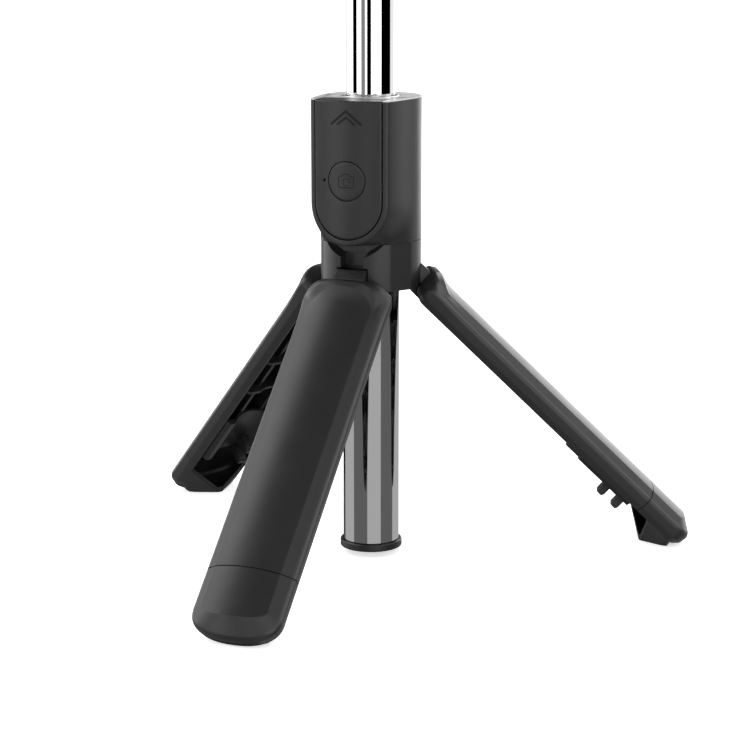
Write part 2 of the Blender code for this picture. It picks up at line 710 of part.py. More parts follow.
def leg_rib_frame(name, plastic, pivot):
    """Two long ribs joined by arched cross ribs and a cradle for the pole's foot, with pegs that reach under it."""
    rail = [(RIB_START, 14.9), (RIB_START, 10.6), (RIB_END, 9.95), (RIB_END, 14.9)]
    frame = extrude(f"leg_{name}_rib_frame", rail, 3.6, 4.8, in_leg, plastic, pivot)
    other = extrude(f"join_leg_{name}_rail", rail, -4.8, -3.6, in_leg, None, pivot)
    fuse(frame, other)
    lip, reach = LEG_LIP_V + 0.6, 9.3
    span = math.degrees(math.asin(lip / reach))
    flank = [(8.9, lip), (10.6, 9.2), (10.4, 12.4), (8.0, 14.4)]
    arch = arc(reach, span, 180 - span, 10) + [(-u, v) for u, v in flank] + flank[::-1]
    for a in ARCH_PLACES:
        rib = extrude(f"join_leg_{name}_arch_{int(a)}", arch, a, a + 1.2, arch_place, None, pivot)
        fuse(frame, rib)
    back = CRADLE_RADIUS + CRADLE_WALL
    span = math.degrees(math.asin(CRADLE_LIP_V / CRADLE_RADIUS))
    flange = [(10.0, CRADLE_LIP_V), (11.0, 7.4), (11.0, CRADLE_FLANGE_V)]
    back_span = math.degrees(math.asin(CRADLE_FLANGE_V / back))
    cradle = arc(CRADLE_RADIUS, span, 180 - span, 16) + [(-u, v) for u, v in flange]
    cradle += arc(back, 180 - back_span, back_span, 14) + flange[::-1]
    fuse(frame, extrude(f"join_leg_{name}_cradle", cradle, CRADLE_START, RIB_END - 0.4, arch_place, None, pivot))
    for a in PEG_PLACES:
        peg = [(a, 12.0), (a, 3.6), (a + 0.9, 2.6), (a + 2.1, 2.6), (a + 2.6, 3.6), (a + 2.6, 12.0)]
        fuse(frame, extrude(f"join_leg_{name}_peg_{int(a)}", peg, -4.4, -1.6, in_leg, None, pivot))
        bar = [(a, 12.6), (a, 10.9), (a + 2.6, 10.9), (a + 2.6, 12.6)]
        fuse(frame, extrude(f"join_leg_{name}_bar_{int(a)}", bar, -4.5, 4.5, in_leg, None, pivot))
    return frame


def arch_place(p, q, h):
    """A point (u, v) of a cross rib at distance h down the leg."""
    return in_leg(h, q, p)


def legs(plastic, rubber):
    for name, azimuth in LEG_AZIMUTHS.items():
        pin = (*compass(PIN_REACH, azimuth), PIN_Z)
        pivot = empty(f"leg_{name}_pivot", pin, (-LEG_SPREAD, 0, azimuth))
        leg_shell(name, plastic, pivot)
        leg_foot_cap(name, rubber, pivot)
        leg_tongue(name, plastic, pivot)
        leg_rib_frame(name, plastic, pivot)


# ---------------------------------------------------------------- swivel head and phone clamp

def pole_top_cap(plastic):
    """The plug on the thinnest section, with a socket for the swivel stem."""
    tube_radius = SECTIONS[-1][0]
    top = POLE_TOP
    profile = [(0, top - 10), (2.6, top - 10), (2.6, top + 0.3), (tube_radius + 0.2, top + 0.3),
               (tube_radius + 0.2, top - 2.5), (5.2, top - 2.5), (5.6, top - 2.1), (5.6, top + 6.5),
               (5.1, top + 7), (2.3, top + 7), (2.3, top + 1.3), (0, top + 1.3)]
    return turn("pole_top_cap", profile, 24, closed=False, material=plastic)


def swivel_yoke(plastic):
    """A turntable with two ears that hold the tilt bolt."""
    top = POLE_TOP
    profile = [(0, top + 1.6), (2.0, top + 1.6), (2.0, top + 7.3), (5.7, top + 7.3), (6.0, top + 7.6),
               (6.0, top + 10), (5.7, top + 10.3), (0, top + 10.3)]
    yoke = turn("swivel_yoke", profile, 24, closed=False, material=plastic)
    ear = [(-4.2, top + 9.8), (4.2, top + 9.8)] + arc(4.2, 0, 180, 12, (0, TILT_Z))
    for side, name in ((-1, "left"), (1, "right")):
        low, high = sorted((side * 3.1, side * 5.4))
        fuse(yoke, extrude("join_ear_" + name, ear, low, high, along_x))
    cut(yoke, rod("cut_yoke_hole", 1.65, -10, 10, 16, (0, TILT_Z), along_x))
    return yoke


def tilt_bolt_and_nut(steel, plastic):
    bolt = [(0, -7.9), (2.6, -7.9), (2.9, -7.6), (2.9, -5.7), (1.5, -5.7), (1.5, 9.2), (0, 9.2)]
    turn("tilt_bolt", bolt, 16, (0, TILT_Z), along_x, False, steel)
    grip = []
    for i in range(36):
        angle = 2 * math.pi * i / 36
        radius = 4.5 if i % 3 else 4.1
        grip.append((radius * math.cos(angle), TILT_Z + radius * math.sin(angle)))
    nut = extrude("tilt_nut", grip, 5.7, 9.6, along_x, plastic)
    cut(nut, rod("cut_nut_bore", 1.7, 0, 15, 16, (0, TILT_Z), along_x))


def clamp_lower_body(plastic):
    """The fixed jaw with its lip, a hollow back for the rods and springs, and the tilt knuckle under it."""
    z = CLAMP_Z
    d = CLAMP_HALF_DEPTH
    top = z + CLAMP_BODY_HEIGHT
    profile = [(d, z), (-CLAMP_LIP_Y, z), (-CLAMP_LIP_Y, z + 7), (-CLAMP_LIP_INNER_Y, z + 7),
               (-CLAMP_LIP_INNER_Y, z + 4), (-d, z + 4), (-d, top), (d, top)]
    body = extrude("clamp_lower_body", profile, -CLAMP_HALF_WIDTH, CLAMP_HALF_WIDTH, along_x, plastic)
    neck = [(-4.2, z + 1), (-4.2, TILT_Z)] + arc(4.2, 180, 360, 12, (0, TILT_Z))[1:] + [(4.2, z + 1)]
    fuse(body, extrude("join_clamp_knuckle", neck, -2.8, 2.8, along_x))
    cut(body, rod("cut_knuckle_hole", 1.7, -10, 10, 16, (0, TILT_Z), along_x))
    cut(body, box("cut_clamp_hollow", (-9.6, -2.9, z + 4), (9.6, 10, z + 46)))
    for x in (-ROD_X, ROD_X):
        cut(body, rod(f"cut_rod_hole_{x}", 1.3, z + 40, z + 60, 16, (x, 0)))
    for height in COVER_SCREWS.values():
        boss = rod(f"join_cover_boss_{height}", 2.0, -3.4, 2.7, 14, (0, z + height), along_y)
        fuse(body, boss)
        cut(body, rod(f"cut_cover_boss_{height}", 1.0, -2.6, 5, 12, (0, z + height), along_y))
    return body


def clamp_back_cover(plastic, steel):
    z = CLAMP_Z
    cover = box("clamp_back_cover", (-9.3, 3.1, z + 4.3), (9.3, CLAMP_HALF_DEPTH, z + 45.7), plastic)
    for place, height in COVER_SCREWS.items():
        centre = (0, z + height)
        cut(cover, rod(f"cut_cover_hole_{height}", 1.1, 0, 10, 12, centre, along_y))
        cut(cover, rod(f"cut_cover_sink_{height}", 1.9, 3.7, 10, 14, centre, along_y))
        screw = [(0, 4.4), (1.5, 4.4), (1.6, 4.0), (0.75, 3.9), (0.75, -1.5), (0, -1.5)]
        head = turn("clamp_screw_" + place, screw, 12, centre, along_y, False, steel)
        cut(head, box(f"cut_cover_driver_{height}", (-1, 4.0, z + height - 0.2), (1, 6, z + height + 0.2)))


def clamp_upper_jaw(plastic):
    z = CLAMP_Z
    d = CLAMP_HALF_DEPTH
    profile = [(d, z + CLAMP_BODY_HEIGHT + 0.4), (-d, z + CLAMP_BODY_HEIGHT + 0.4), (-d, z + CLAMP_GRIP),
               (-CLAMP_LIP_INNER_Y, z + CLAMP_GRIP), (-CLAMP_LIP_INNER_Y, z + CLAMP_GRIP - 3),
               (-CLAMP_LIP_Y, z + CLAMP_GRIP - 3), (-CLAMP_LIP_Y, z + CLAMP_HEIGHT), (d, z + CLAMP_HEIGHT)]
    jaw = extrude("clamp_upper_jaw", profile, -CLAMP_HALF_WIDTH, CLAMP_HALF_WIDTH, along_x, plastic)
    for x in (-ROD_X, ROD_X):
        cut(jaw, rod(f"cut_rod_socket_{x}", 1.3, z + 45, z + 60, 16, (x, 0)))
    return jaw


def clamp_pads(rubber):
    z = CLAMP_Z
    ceiling = z + CLAMP_GRIP
    pads = (("clamp_pad_lower", z + 4.2, z + 5.4), ("clamp_pad_upper", ceiling - 1.4, ceiling - 0.2))
    for name, low, high in pads:
        ridges = 6
        pitch = 9.0 / ridges
        up = name == "clamp_pad_lower"
        face, back = (high, low) if up else (low, high)
        groove = face - 0.4 if up else face + 0.4
        outline = [(-4.8, back), (-13.9, back)]
        for i in range(ridges):
            y = -13.9 + i * pitch
            outline += [(y, groove), (y + 0.3, face), (y + 1.1, face), (y + 1.4, groove)]
        extrude(name, outline, -10, 10, along_x, rubber)


def clamp_rods_and_springs(steel, wire):
    """Rods fixed in the upper jaw. Each spring pushes its rod's foot away from the body's top wall."""
    z = CLAMP_Z
    for x, name in ((-ROD_X, "left"), (ROD_X, "right")):
        foot = [(0, z + 5), (2.1, z + 5), (2.1, z + 6.2), (1.0, z + 6.2), (1.0, z + 59), (0, z + 59)]
        turn("clamp_rod_" + name, foot, 14, (x, 0), closed=False, material=steel)
        coil("clamp_spring_" + name, (x, 0), 1.85, 0.28, z + 6.9, z + 45.4, 9, wire)


def coil(name, centre, radius, wire_radius, low, high, turns, look):
    """A round wire wound round a vertical axis."""
    skin = Skin()
    around, sides = 7, 4
    steps = turns * around
    rows = []
    for i in range(steps + 1):
        angle = 2 * math.pi * i / around
        height = low + wire_radius + (high - low - 2 * wire_radius) * i / steps
        row = []
        for k in range(sides + 1):
            side = 2 * math.pi * k / sides
            r = radius + wire_radius * math.cos(side)
            row.append((centre[0] + r * math.cos(angle), centre[1] + r * math.sin(angle),
                        height + wire_radius * math.sin(side)))
        rows.append(row)
    skin.grid(rows)
    skin.face(*rows[0][:-1])
    skin.face(*rows[-1][:-1])
    return skin.build(name, look)


def main():
    for old in list(bpy.data.objects):
        bpy.data.objects.remove(old, do_unlink=True)

    plastic = material("handle_plastic", (0.055, 0.055, 0.057), 0.42)
    dark = material("dark_plastic", (0.02, 0.02, 0.021), 0.5)
    satin = material("satin_grey", (0.35, 0.35, 0.36), 0.35)
    rubber = material("grip_rubber", (0.035, 0.035, 0.036), 0.7)
    chrome = material("pole_chrome", (0.75, 0.75, 0.76), 0.08, 1.0)
    steel = material("fastener_steel", (0.5, 0.5, 0.51), 0.3, 1.0)
    board = material("board_green", (0.02, 0.12, 0.05), 0.6)
    light = material("light_lens", (0.3, 0.35, 0.6), 0.2)

    body_housing(plastic)
    top_plate(satin)
    leg_hub(plastic)
    hub_screws(steel)
    hinge_pins(steel)
    base_cap(dark)
    tube_bush(dark)
    pole(chrome, dark)

    remote_front_shell(plastic)
    remote_back_cover(plastic)
    remote_inside(board, steel, light)
    button_frame = empty("button_frame", (0, 0, BUTTON_Z), (0, 0, 0))
    shutter_button(rubber, button_frame)

    legs(plastic, rubber)

    pole_top_cap(dark)
    swivel_yoke(plastic)
    tilt_bolt_and_nut(steel, dark)
    clamp_lower_body(plastic)
    clamp_back_cover(plastic, steel)
    clamp_upper_jaw(plastic)
    clamp_pads(rubber)
    clamp_rods_and_springs(steel, steel)


main()
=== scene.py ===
"""Looks for the selfie stick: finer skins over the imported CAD, procedural materials, studio and camera.

Sizes are in millimetres in the frame's axes, and Skin.build() turns them into metres. +Z runs up the pole and
the remote faces -Y. A leg's own sizes are u across, v outwards from the pole and a down from its hinge pin.
"""

import json
import math

import bmesh
import bpy
from mathutils import Matrix, Vector


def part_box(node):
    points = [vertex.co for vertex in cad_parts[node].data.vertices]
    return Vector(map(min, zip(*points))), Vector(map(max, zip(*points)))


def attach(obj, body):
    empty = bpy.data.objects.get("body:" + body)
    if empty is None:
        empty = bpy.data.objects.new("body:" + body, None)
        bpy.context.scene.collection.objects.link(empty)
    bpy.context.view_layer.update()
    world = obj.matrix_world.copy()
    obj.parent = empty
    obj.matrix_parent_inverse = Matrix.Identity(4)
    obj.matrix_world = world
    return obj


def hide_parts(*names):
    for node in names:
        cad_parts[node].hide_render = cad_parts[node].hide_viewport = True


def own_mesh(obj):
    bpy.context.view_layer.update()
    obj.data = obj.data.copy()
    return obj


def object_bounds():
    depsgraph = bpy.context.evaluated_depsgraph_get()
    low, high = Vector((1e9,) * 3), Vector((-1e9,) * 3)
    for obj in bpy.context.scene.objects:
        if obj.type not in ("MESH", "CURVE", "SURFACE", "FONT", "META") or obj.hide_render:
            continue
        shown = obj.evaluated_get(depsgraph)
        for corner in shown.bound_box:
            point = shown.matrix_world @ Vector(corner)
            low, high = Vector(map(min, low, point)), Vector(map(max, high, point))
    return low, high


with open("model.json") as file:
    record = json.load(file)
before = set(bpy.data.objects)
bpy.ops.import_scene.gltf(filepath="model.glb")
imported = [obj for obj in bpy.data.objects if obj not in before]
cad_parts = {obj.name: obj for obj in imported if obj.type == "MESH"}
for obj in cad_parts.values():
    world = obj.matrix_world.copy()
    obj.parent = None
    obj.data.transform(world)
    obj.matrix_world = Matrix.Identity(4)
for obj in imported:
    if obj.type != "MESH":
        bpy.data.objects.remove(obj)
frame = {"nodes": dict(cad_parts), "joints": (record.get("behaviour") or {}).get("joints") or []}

cad_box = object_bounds()

MM = 0.001
X, Y, Z = 0, 1, 2
WELD = 4
SMOOTH_ANGLE = math.radians(35)


def low(node, axis=Z):
    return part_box(node)[0][axis] / MM


def high(node, axis=Z):
    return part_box(node)[1][axis] / MM


JOINTS = {joint["name"]: joint for joint in frame["joints"]}
ROUND = 96
AZIMUTHS = {"front": 0, "right": 120, "left": 240}

# Handle housing and its dock
BODY_TOP = high("top_plate")
BODY_BOTTOM = low("body_housing")
BODY_RADIUS = high("body_housing", Y)
FRONT_HALF_WIDTH = 12.74
FRONT_CREST_Y = -low("body_housing", Y)
FRONT_BOW = 2.5
PLATE_THICKNESS = 0.45
BORE_RADIUS = 9.2
DOCK_HALF_WIDTH = 11.25
DOCK_BACK_Y = 10.1
U_STEPS = 24
SLOT_RADII = (12.3, 14.1)
SLOT_START, SLOT_SPAN = 60, 20

# Remote
REMOTE_TOP = high("remote_front_shell")
REMOTE_HALF_WIDTH = high("remote_front_shell", X)
REMOTE_SPLIT_Y = -high("remote_front_shell", Y)
REMOTE_WALL = 1.2
REMOTE_CLEARANCE = 0.3
U_CENTRE = low("remote_front_shell") + REMOTE_HALF_WIDTH
BUTTON_RADIUS = high("shutter_button", X)
BUTTON_Z = high("shutter_button") - BUTTON_RADIUS
BUTTON_BACK_Y = -high("shutter_button", Y)
BUTTON_FLANGE = 0.6
STEM_RADIUS = 1.5
LED_X = -7.5
CHEVRON_DROP = 7.2

# Hub and hinges
HUB_TOP = high("leg_hub")
HUB_BOTTOM = low("leg_hub")
LOBE_HALF_ANGLE = 47
SCOOP_RADIUS = 12.25
SCOOP_DROP = 4.4
SCOOP_FLOOR_RADIUS = 5.4
SCOOP_FLOOR_Y = 11.8
SLOT_HALF_WIDTH = 5.15
SLOT_TOP = 92.5
SLOT_BACK = 9.9
NECK_HALF_WIDTH = 3.8
NECK_BACK = 10.6
NECK_RISE = 4.5
KNUCKLE_ROOM = 2.8
PIN_HOLE_RADIUS = 1.1
PIN_HOLE_REACH = 9.3
PIN_REACH = -JOINTS["leg_front_fold"]["pos_m"][Y] / MM
PIN_Z = JOINTS["leg_front_fold"]["pos_m"][Z] / MM
LEG_SPREAD = -JOINTS["leg_front_fold"]["range_deg"][0]
HUB_SCREW_AZIMUTHS = (60, 180, 300)
HUB_SCREW_REACH = 12.3
SCREW_HEAD_RADIUS = 1.9
SCREW_SHANK_RADIUS = 1.1

# Legs
LEG_HALF_WIDTH = 14.15
LEG_LIP_V = 7.4
LEG_CREST_V = 17.4
LEG_BOW = 0.018
LEG_TOP_A = 4.6
LEG_TOP_DEPTH = 6.4
LEG_TOP_POWER = 4.3
LEG_TIP_A = 128.0
LEG_TIP_DEPTH = 8.8
LEG_TIP_LIP = 2.5
LEG_TIP_POWER = 2.35
LEG_LIP_INSET = 1.95
LEG_LIP_THICKNESS = 0.45
LEG_EDGE_V = 12.2
SHOULDER_BULGE = 0.5
SHOULDER_LENGTH = 14
LEG_SEAM_A = 106.6
LEG_SEAM_GAP = 0.26
LEG_WALL = 1.6
PANEL_HALF_WIDTH = 10.2
PANEL_TOP_CENTRE = 15.2
PANEL_TOP_DEPTH = 6.6
PANEL_TIP_DEPTH = 3.15
BROW_RISE = 1.25
BROW_LENGTH = 5.5
LEG_STATIONS = (13, 16, 20, 25, 40, 73)
END_STEPS = 24
TONGUE_HALF_WIDTH = 4.85
FOOT_APEX_A = 118.86
FOOT_APEX_V = 0.66
FOOT_TOP_V = 7.9
FOOT_BACK_SLOPE = 1.05
FOOT_WALL = 0.9
NOTCH_RADIUS = 9.5

# Pole and head
OUTER_RADIUS = high("outer_tube", X)
TUBE_WALL = 0.45
CAP_RADIUS = high("base_cap", X)
CAP_THICKNESS = 2.3
POLE_TOP = high("pole_tube_6")
TILT_Z = JOINTS["clamp_tilt"]["pos_m"][Z] / MM
CLAMP_Z = low("clamp_pad_lower") - 4.2
CLAMP_TOP = high("clamp_upper_jaw")
CLAMP_HALF_WIDTH = high("clamp_lower_body", X)
CLAMP_BACK_Y = high("clamp_upper_jaw", Y)
CLAMP_LIP_Y = -low("clamp_upper_jaw", Y)
CLAMP_LIP = 1.8
GRIP_SPACE = 50
EAR_RADIUS = 4.2
ROD_X = 6
ROD_HOLE_RADIUS = 1.3

# Screens round the studio as (start azimuth, brightness): at eye level, towards the floor and above
BRIGHT = 3.2
LEVEL_SCREENS = [(-180, BRIGHT), (-157, 0.0), (-132, BRIGHT), (-71, 0.0), (-47, BRIGHT), (-25, 0.3),
                 (-5, BRIGHT), (3, 0.0), (23, BRIGHT), (71, 0.0), (124, 1.15), (160, BRIGHT)]
LOWER_SCREENS = [(-180, 0.58), (-165, 0.02), (-128, 0.14), (-113, 0.5), (-54, 0.14), (6, 0.5), (63, 0.14),
                 (122, 0.5)]
RAISED_SCREENS = [(-180, 3.0), (-166, 0.1), (-128, 1.0), (-90, 3.0), (-50, 1.2), (-30, 1.0), (20, 1.6),
                  (60, 1.6), (98, 3.2), (130, 0.3), (152, 3.0)]
LOWER_BLEND, RAISED_BLEND, CEILING_BLEND = (-7, -11), (0, 10), (38, 60)
CEILING = 0.2
AMBIENT = 1.5
BACKDROP = 1.3


class Skin:
    """A surface made point by point. Equal points are shared, and faces with no width are left out."""

    def __init__(self):
        self.points = []
        self.number = {}
        self.faces = []

    def point(self, xyz):
        key = tuple(round(c, WELD) for c in xyz)
        if key not in self.number:
            self.number[key] = len(self.points)
            self.points.append(key)
        return self.number[key]

    def face(self, *corners):
        ring = []
        for corner in corners:
            number = self.point(corner)
            if number not in ring:
                ring.append(number)
        if len(ring) > 2:
            self.faces.append(ring)

    def strip(self, one, other):
        for i in range(len(one) - 1):
            self.face(one[i], one[i + 1], other[i + 1], other[i])

    def grid(self, rows, closed=False):
        pairs = zip(rows, rows[1:] + rows[:1]) if closed else zip(rows, rows[1:])
        for one, other in pairs:
            self.strip(one, other)

    def build(self, name):
        """Make the object, with its faces turned outwards, in metres."""
        mesh = bpy.data.meshes.new(name)
        mesh.from_pydata([[c * MM for c in p] for p in self.points], [], self.faces)
        solid = bmesh.new()
        solid.from_mesh(mesh)
        bmesh.ops.recalc_face_normals(solid, faces=solid.faces)
        solid.to_mesh(mesh)
        solid.free()
        thing = bpy.data.objects.new(name, mesh)
        bpy.context.scene.collection.objects.link(thing)
        return thing


# ---------------------------------------------------------------- solids and mesh tools

def upright(p, q, h):
    return (p, q, h)


def along_x(p, q, h):
    return (h, p, q)


def along_y(p, q, h):
    return (p, h, q)


def in_leg(a, v, u):
    """A point of a leg in its hinge's own frame."""
    return (u, PIN_REACH - v, -a)


def extrude(name, outline, start, end, place=upright):
    skin = Skin()
    ends = [[place(p, q, h) for p, q in outline] for h in (start, end)]
    skin.face(*ends[0])
    skin.face(*ends[1])
    skin.strip(ends[0] + ends[0][:1], ends[1] + ends[1][:1])
    return skin.build(name)


def turn(name, profile, steps=ROUND, centre=(0, 0), place=upright, closed=True):
    """A profile of (radius, height) points turned round an axis. A closed profile makes a ring."""
    skin = Skin()
    loop = profile + profile[:1] if closed else profile
    skin.grid([[place(centre[0] + r * side[0], centre[1] + r * side[1], h) for r, h in loop]
               for side in circle(steps)], closed=True)
    return skin.build(name)


def rod(name, radius, start, end, steps=48, centre=(0, 0), place=upright):
    return turn(name, [(0, start), (radius, start), (radius, end), (0, end)], steps, centre, place, False)


def box(name, lowest, highest):
    (x, y, start), (far_x, far_y, end) = lowest, highest
    return extrude(name, [(x, y), (far_x, y), (far_x, far_y), (x, far_y)], start, end)


def quarter(steps):
    """Angles from nothing to a right angle."""
    return [math.pi / 2 * i / steps for i in range(steps + 1)]


def circle(steps=ROUND):
    """Directions all the way round, as (cos, sin)."""
    return [(math.cos(2 * math.pi * i / steps), math.sin(2 * math.pi * i / steps)) for i in range(steps)]


def arc(radius, start, end, steps, centre=(0, 0)):
    """Points from the start angle to the end angle, in degrees."""
    angles = [math.radians(start + (end - start) * i / steps) for i in range(steps + 1)]
    return [(centre[0] + radius * math.cos(t), centre[1] + radius * math.sin(t)) for t in angles]


def compass(radius, azimuth):
    """A plan point at an azimuth in degrees, counted from the front, -Y, towards +X."""
    angle = math.radians(azimuth)
    return (radius * math.sin(angle), -radius * math.cos(angle))


def eased(points, reaches, steps=3):
    """The same line with rounded corners. A reach is how far from its corner a curve starts, or None."""
    line = [Vector(points[0])]
    for before, corner, after, reach in zip(points, points[1:], points[2:], reaches[1:]):
        corner = Vector(corner)
        if reach is None:
            line.append(corner)
            continue
        start, end = [corner + side.normalized() * min(reach, 0.45 * side.length)
                      for side in (Vector(before) - corner, Vector(after) - corner)]
        for i in range(steps + 1):
            t = i / steps
            line.append(start * (1 - t) ** 2 + corner * 2 * t * (1 - t) + end * t ** 2)
    line.append(Vector(points[-1]))
    return [tuple(point) for point in line]


def rounded(outline, radii, steps=5):
    """A closed outline of (p, q) points with its corners rounded."""
    closed = outline[-1:] + outline + outline[:1]
    return eased([(*p, 0) for p in closed], [None, *[radius or None for radius in radii]], steps)[1:-1]


def flat(points):
    return [(p, q) for p, q, _ in points]


def settle(thing):
    """Replace a mesh by the result of its modifiers."""
    bpy.context.view_layer.update()
    graph = bpy.context.evaluated_depsgraph_get()
    mesh = bpy.data.meshes.new_from_object(thing.evaluated_get(graph))
    thing.modifiers.clear()
    thing.data = mesh
    return thing


def carve(target, *tools, operation="DIFFERENCE"):
    for tool in tools:
        change = target.modifiers.new(tool.name, "BOOLEAN")
        change.operation = operation
        change.object = tool
        change.solver = "EXACT"
        settle(target)
        bpy.data.objects.remove(tool, do_unlink=True)
    return target


def join(target, *tools):
    return carve(target, *tools, operation="UNION")


def soften(target, width, segments=2, angle=32):
    """Round every edge sharper than the angle."""
    bevel = target.modifiers.new("soften", "BEVEL")
    bevel.width = width * MM
    bevel.segments = segments
    bevel.angle_limit = math.radians(angle)
    bevel.limit_method = "ANGLE"
    return settle(target)


def turned_round(thing, azimuth):
    """Turn a mesh about the pole's axis."""
    thing.data.transform(Matrix.Rotation(math.radians(azimuth), 4, "Z"))
    return thing


def dress(thing, look, body, slot, *nodes):
    """Give a finished mesh its material, smooth shading and body, and hide the CAD nodes it stands for."""
    thing.data.materials.clear()
    thing.data.materials.append(look)
    thing.data.shade_smooth()
    thing.data.set_sharp_from_angle(angle=SMOOTH_ANGLE)
    even = thing.modifiers.new("even_shading", "WEIGHTED_NORMAL")
    even.keep_sharp = True
    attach(thing, body)
    if nodes:
        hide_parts(*nodes)
    return thing


def keep(node, look, edge=0.12):
    """Show a CAD node as it is, with its edges eased and a better material."""
    thing = frame["nodes"][node]
    thing.data.materials.clear()
    thing.data.materials.append(look)
    weld = thing.modifiers.new("weld", "WELD")
    weld.merge_threshold = 0.002 * MM
    if edge:
        bevel = thing.modifiers.new("edge", "BEVEL")
        bevel.width = edge * MM
        bevel.segments = 2
        bevel.limit_method = "ANGLE"
        bevel.angle_limit = math.radians(40)
    even = thing.modifiers.new("even_shading", "WEIGHTED_NORMAL")
    even.keep_sharp = True
    for polygon in thing.data.polygons:
        polygon.use_smooth = True


# ---------------------------------------------------------------- materials

class Look:
    """A material, with short ways to add and link its nodes."""

    def __init__(self, name, colour, roughness, metallic=0.0):
        self.material = bpy.data.materials.new(name)
        self.material.use_nodes = True
        self.tree = self.material.node_tree
        self.shader = self.tree.nodes["Principled BSDF"]
        self.colour = colour
        self.set("Base Color", (*colour, 1))
        self.set("Roughness", roughness)
        self.set("Metallic", metallic)
        self.place = self.add("ShaderNodeTexCoord").outputs["Object"]

    def set(self, socket, value):
        self.shader.inputs[socket].default_value = value

    def add(self, kind, **settings):
        node = self.tree.nodes.new(kind)
        for name, value in settings.items():
            setattr(node, name, value)
        return node

    def link(self, output, target):
        self.tree.links.new(output, target)

    def noise(self, size, detail=2.0, stretch=(1, 1, 1)):
        """Noise whose grains are about size millimetres across."""
        scale = self.add("ShaderNodeMapping")
        scale.inputs["Scale"].default_value = [s / (size * MM) for s in stretch]
        self.link(self.place, scale.inputs["Vector"])
        noise = self.add("ShaderNodeTexNoise")
        noise.inputs["Scale"].default_value = 1.0
        noise.inputs["Detail"].default_value = detail
        self.link(scale.outputs["Vector"], noise.inputs["Vector"])
        return noise.outputs["Fac"]

    def spread(self, value, lowest, highest, start=0.3, end=0.7):
        """Map a 0 to 1 value onto a range."""
        node = self.add("ShaderNodeMapRange")
        node.inputs["From Min"].default_value = start
        node.inputs["From Max"].default_value = end
        node.inputs["To Min"].default_value = lowest
        node.inputs["To Max"].default_value = highest
        self.link(value, node.inputs["Value"])
        return node.outputs["Result"]

    def tint(self, value, darker, lighter):
        """Colour that runs between two multiples of the base colour."""
        mix = self.add("ShaderNodeMix", data_type="RGBA")
        mix.inputs["A"].default_value = (*[c * darker for c in self.colour], 1)
        mix.inputs["B"].default_value = (*[c * lighter for c in self.colour], 1)
        self.link(value, mix.inputs["Factor"])
        return mix.outputs["Result"]

    def bump(self, height, depth, normal=None):
        """Bump of the given depth in millimetres."""
        node = self.add("ShaderNodeBump")
        node.inputs["Strength"].default_value = 1.0
        node.inputs["Distance"].default_value = depth * MM
        self.link(height, node.inputs["Height"])
        if normal:
            self.link(normal, node.inputs["Normal"])
        return node.outputs["Normal"]

    def vary(self, tint, roughness, relief):
        """Vary colour and roughness with (noise, low, high) and the surface with (noise, depth)."""
        self.link(self.tint(self.spread(tint[0], 0, 1), *tint[1:]), self.shader.inputs["Base Color"])
        self.link(self.spread(*roughness), self.shader.inputs["Roughness"])
        self.link(self.bump(*relief), self.shader.inputs["Normal"])
        return self.material


def moulded(name, colour, roughness, grain=0.16, depth=0.0025, sheen=0.5):
    """Moulded plastic: fine spark-eroded grain, slow changes of gloss, fine dust tone, rounded edges, and a
    painted highlight that lightens the colour along the edges.
    """
    look = Look(name, colour, roughness)
    look.set("Specular IOR Level", sheen)
    patches = look.noise(14, 3)
    edge_bevel = look.add("ShaderNodeBevel", samples=4)
    edge_bevel.inputs["Radius"].default_value = 0.25 * MM
    shape = look.add("ShaderNodeNewGeometry")
    facing = look.add("ShaderNodeVectorMath", operation="DOT_PRODUCT")
    look.link(edge_bevel.outputs["Normal"], facing.inputs[0])
    look.link(shape.outputs["Normal"], facing.inputs[1])
    # Painted highlight: the colour is made up to a quarter lighter along sharp edges, on top of the fine dust
    # tone.
    edge = look.spread(facing.outputs["Value"], 1.0, 0.0, 0.9, 1.0)
    dust_and_edge_highlight = look.add("ShaderNodeMath", operation="MULTIPLY_ADD")
    look.link(look.noise(0.5, 4), dust_and_edge_highlight.inputs[0])
    dust_and_edge_highlight.inputs[1].default_value = 0.5
    look.link(edge, dust_and_edge_highlight.inputs[2])
    look.link(look.tint(look.spread(dust_and_edge_highlight.outputs["Value"], 0, 1, 0.15, 1.5), 0.94, 1.25),
              look.shader.inputs["Base Color"])
    look.link(look.spread(patches, roughness - 0.03, roughness + 0.03), look.shader.inputs["Roughness"])
    look.link(look.bump(look.noise(grain, 2), depth, edge_bevel.outputs["Normal"]), look.shader.inputs["Normal"])
    return look.material


def chrome(name):
    """Polished plated tube: faint drawing lines along it and a little haze."""
    look = Look(name, (0.9, 0.9, 0.91), 0.03, 1.0)
    lines = look.noise(0.12, 2, (1, 1, 0.004))
    return look.vary((lines, 0.985, 1.01), (look.noise(22, 3), 0.02, 0.045), (lines, 0.00002))


def steel(name, colour, roughness):
    """Bright machined steel with fine turning marks."""
    look = Look(name, colour, roughness, 1.0)
    marks = look.noise(0.25, 3, (1, 1, 3))
    tarnish = look.noise(2.5, 3)
    return look.vary((tarnish, 0.85, 1.1), (marks, roughness - 0.07, roughness + 0.08), (marks, 0.002))


def painted_light_satin(name):
    """Satin top painted light grey to stand for the light falling on the handle's top face, with fine flakes
    in the paint and a soft gloss.
    """
    look = Look(name, (0.48, 0.48, 0.485), 0.36)
    look.set("Specular IOR Level", 0.12)
    flakes = look.noise(0.12, 1)
    return look.vary((flakes, 0.88, 1.14), (look.noise(8, 3), 0.26, 0.36), (flakes, 0.002))


def rubber(name):
    """Soft matt rubber with a powdery surface."""
    look = Look(name, (0.022, 0.022, 0.022), 0.68)
    powder = look.noise(0.3, 5)
    return look.vary((powder, 0.8, 1.35), (look.noise(5, 3), 0.6, 0.78), (powder, 0.012))


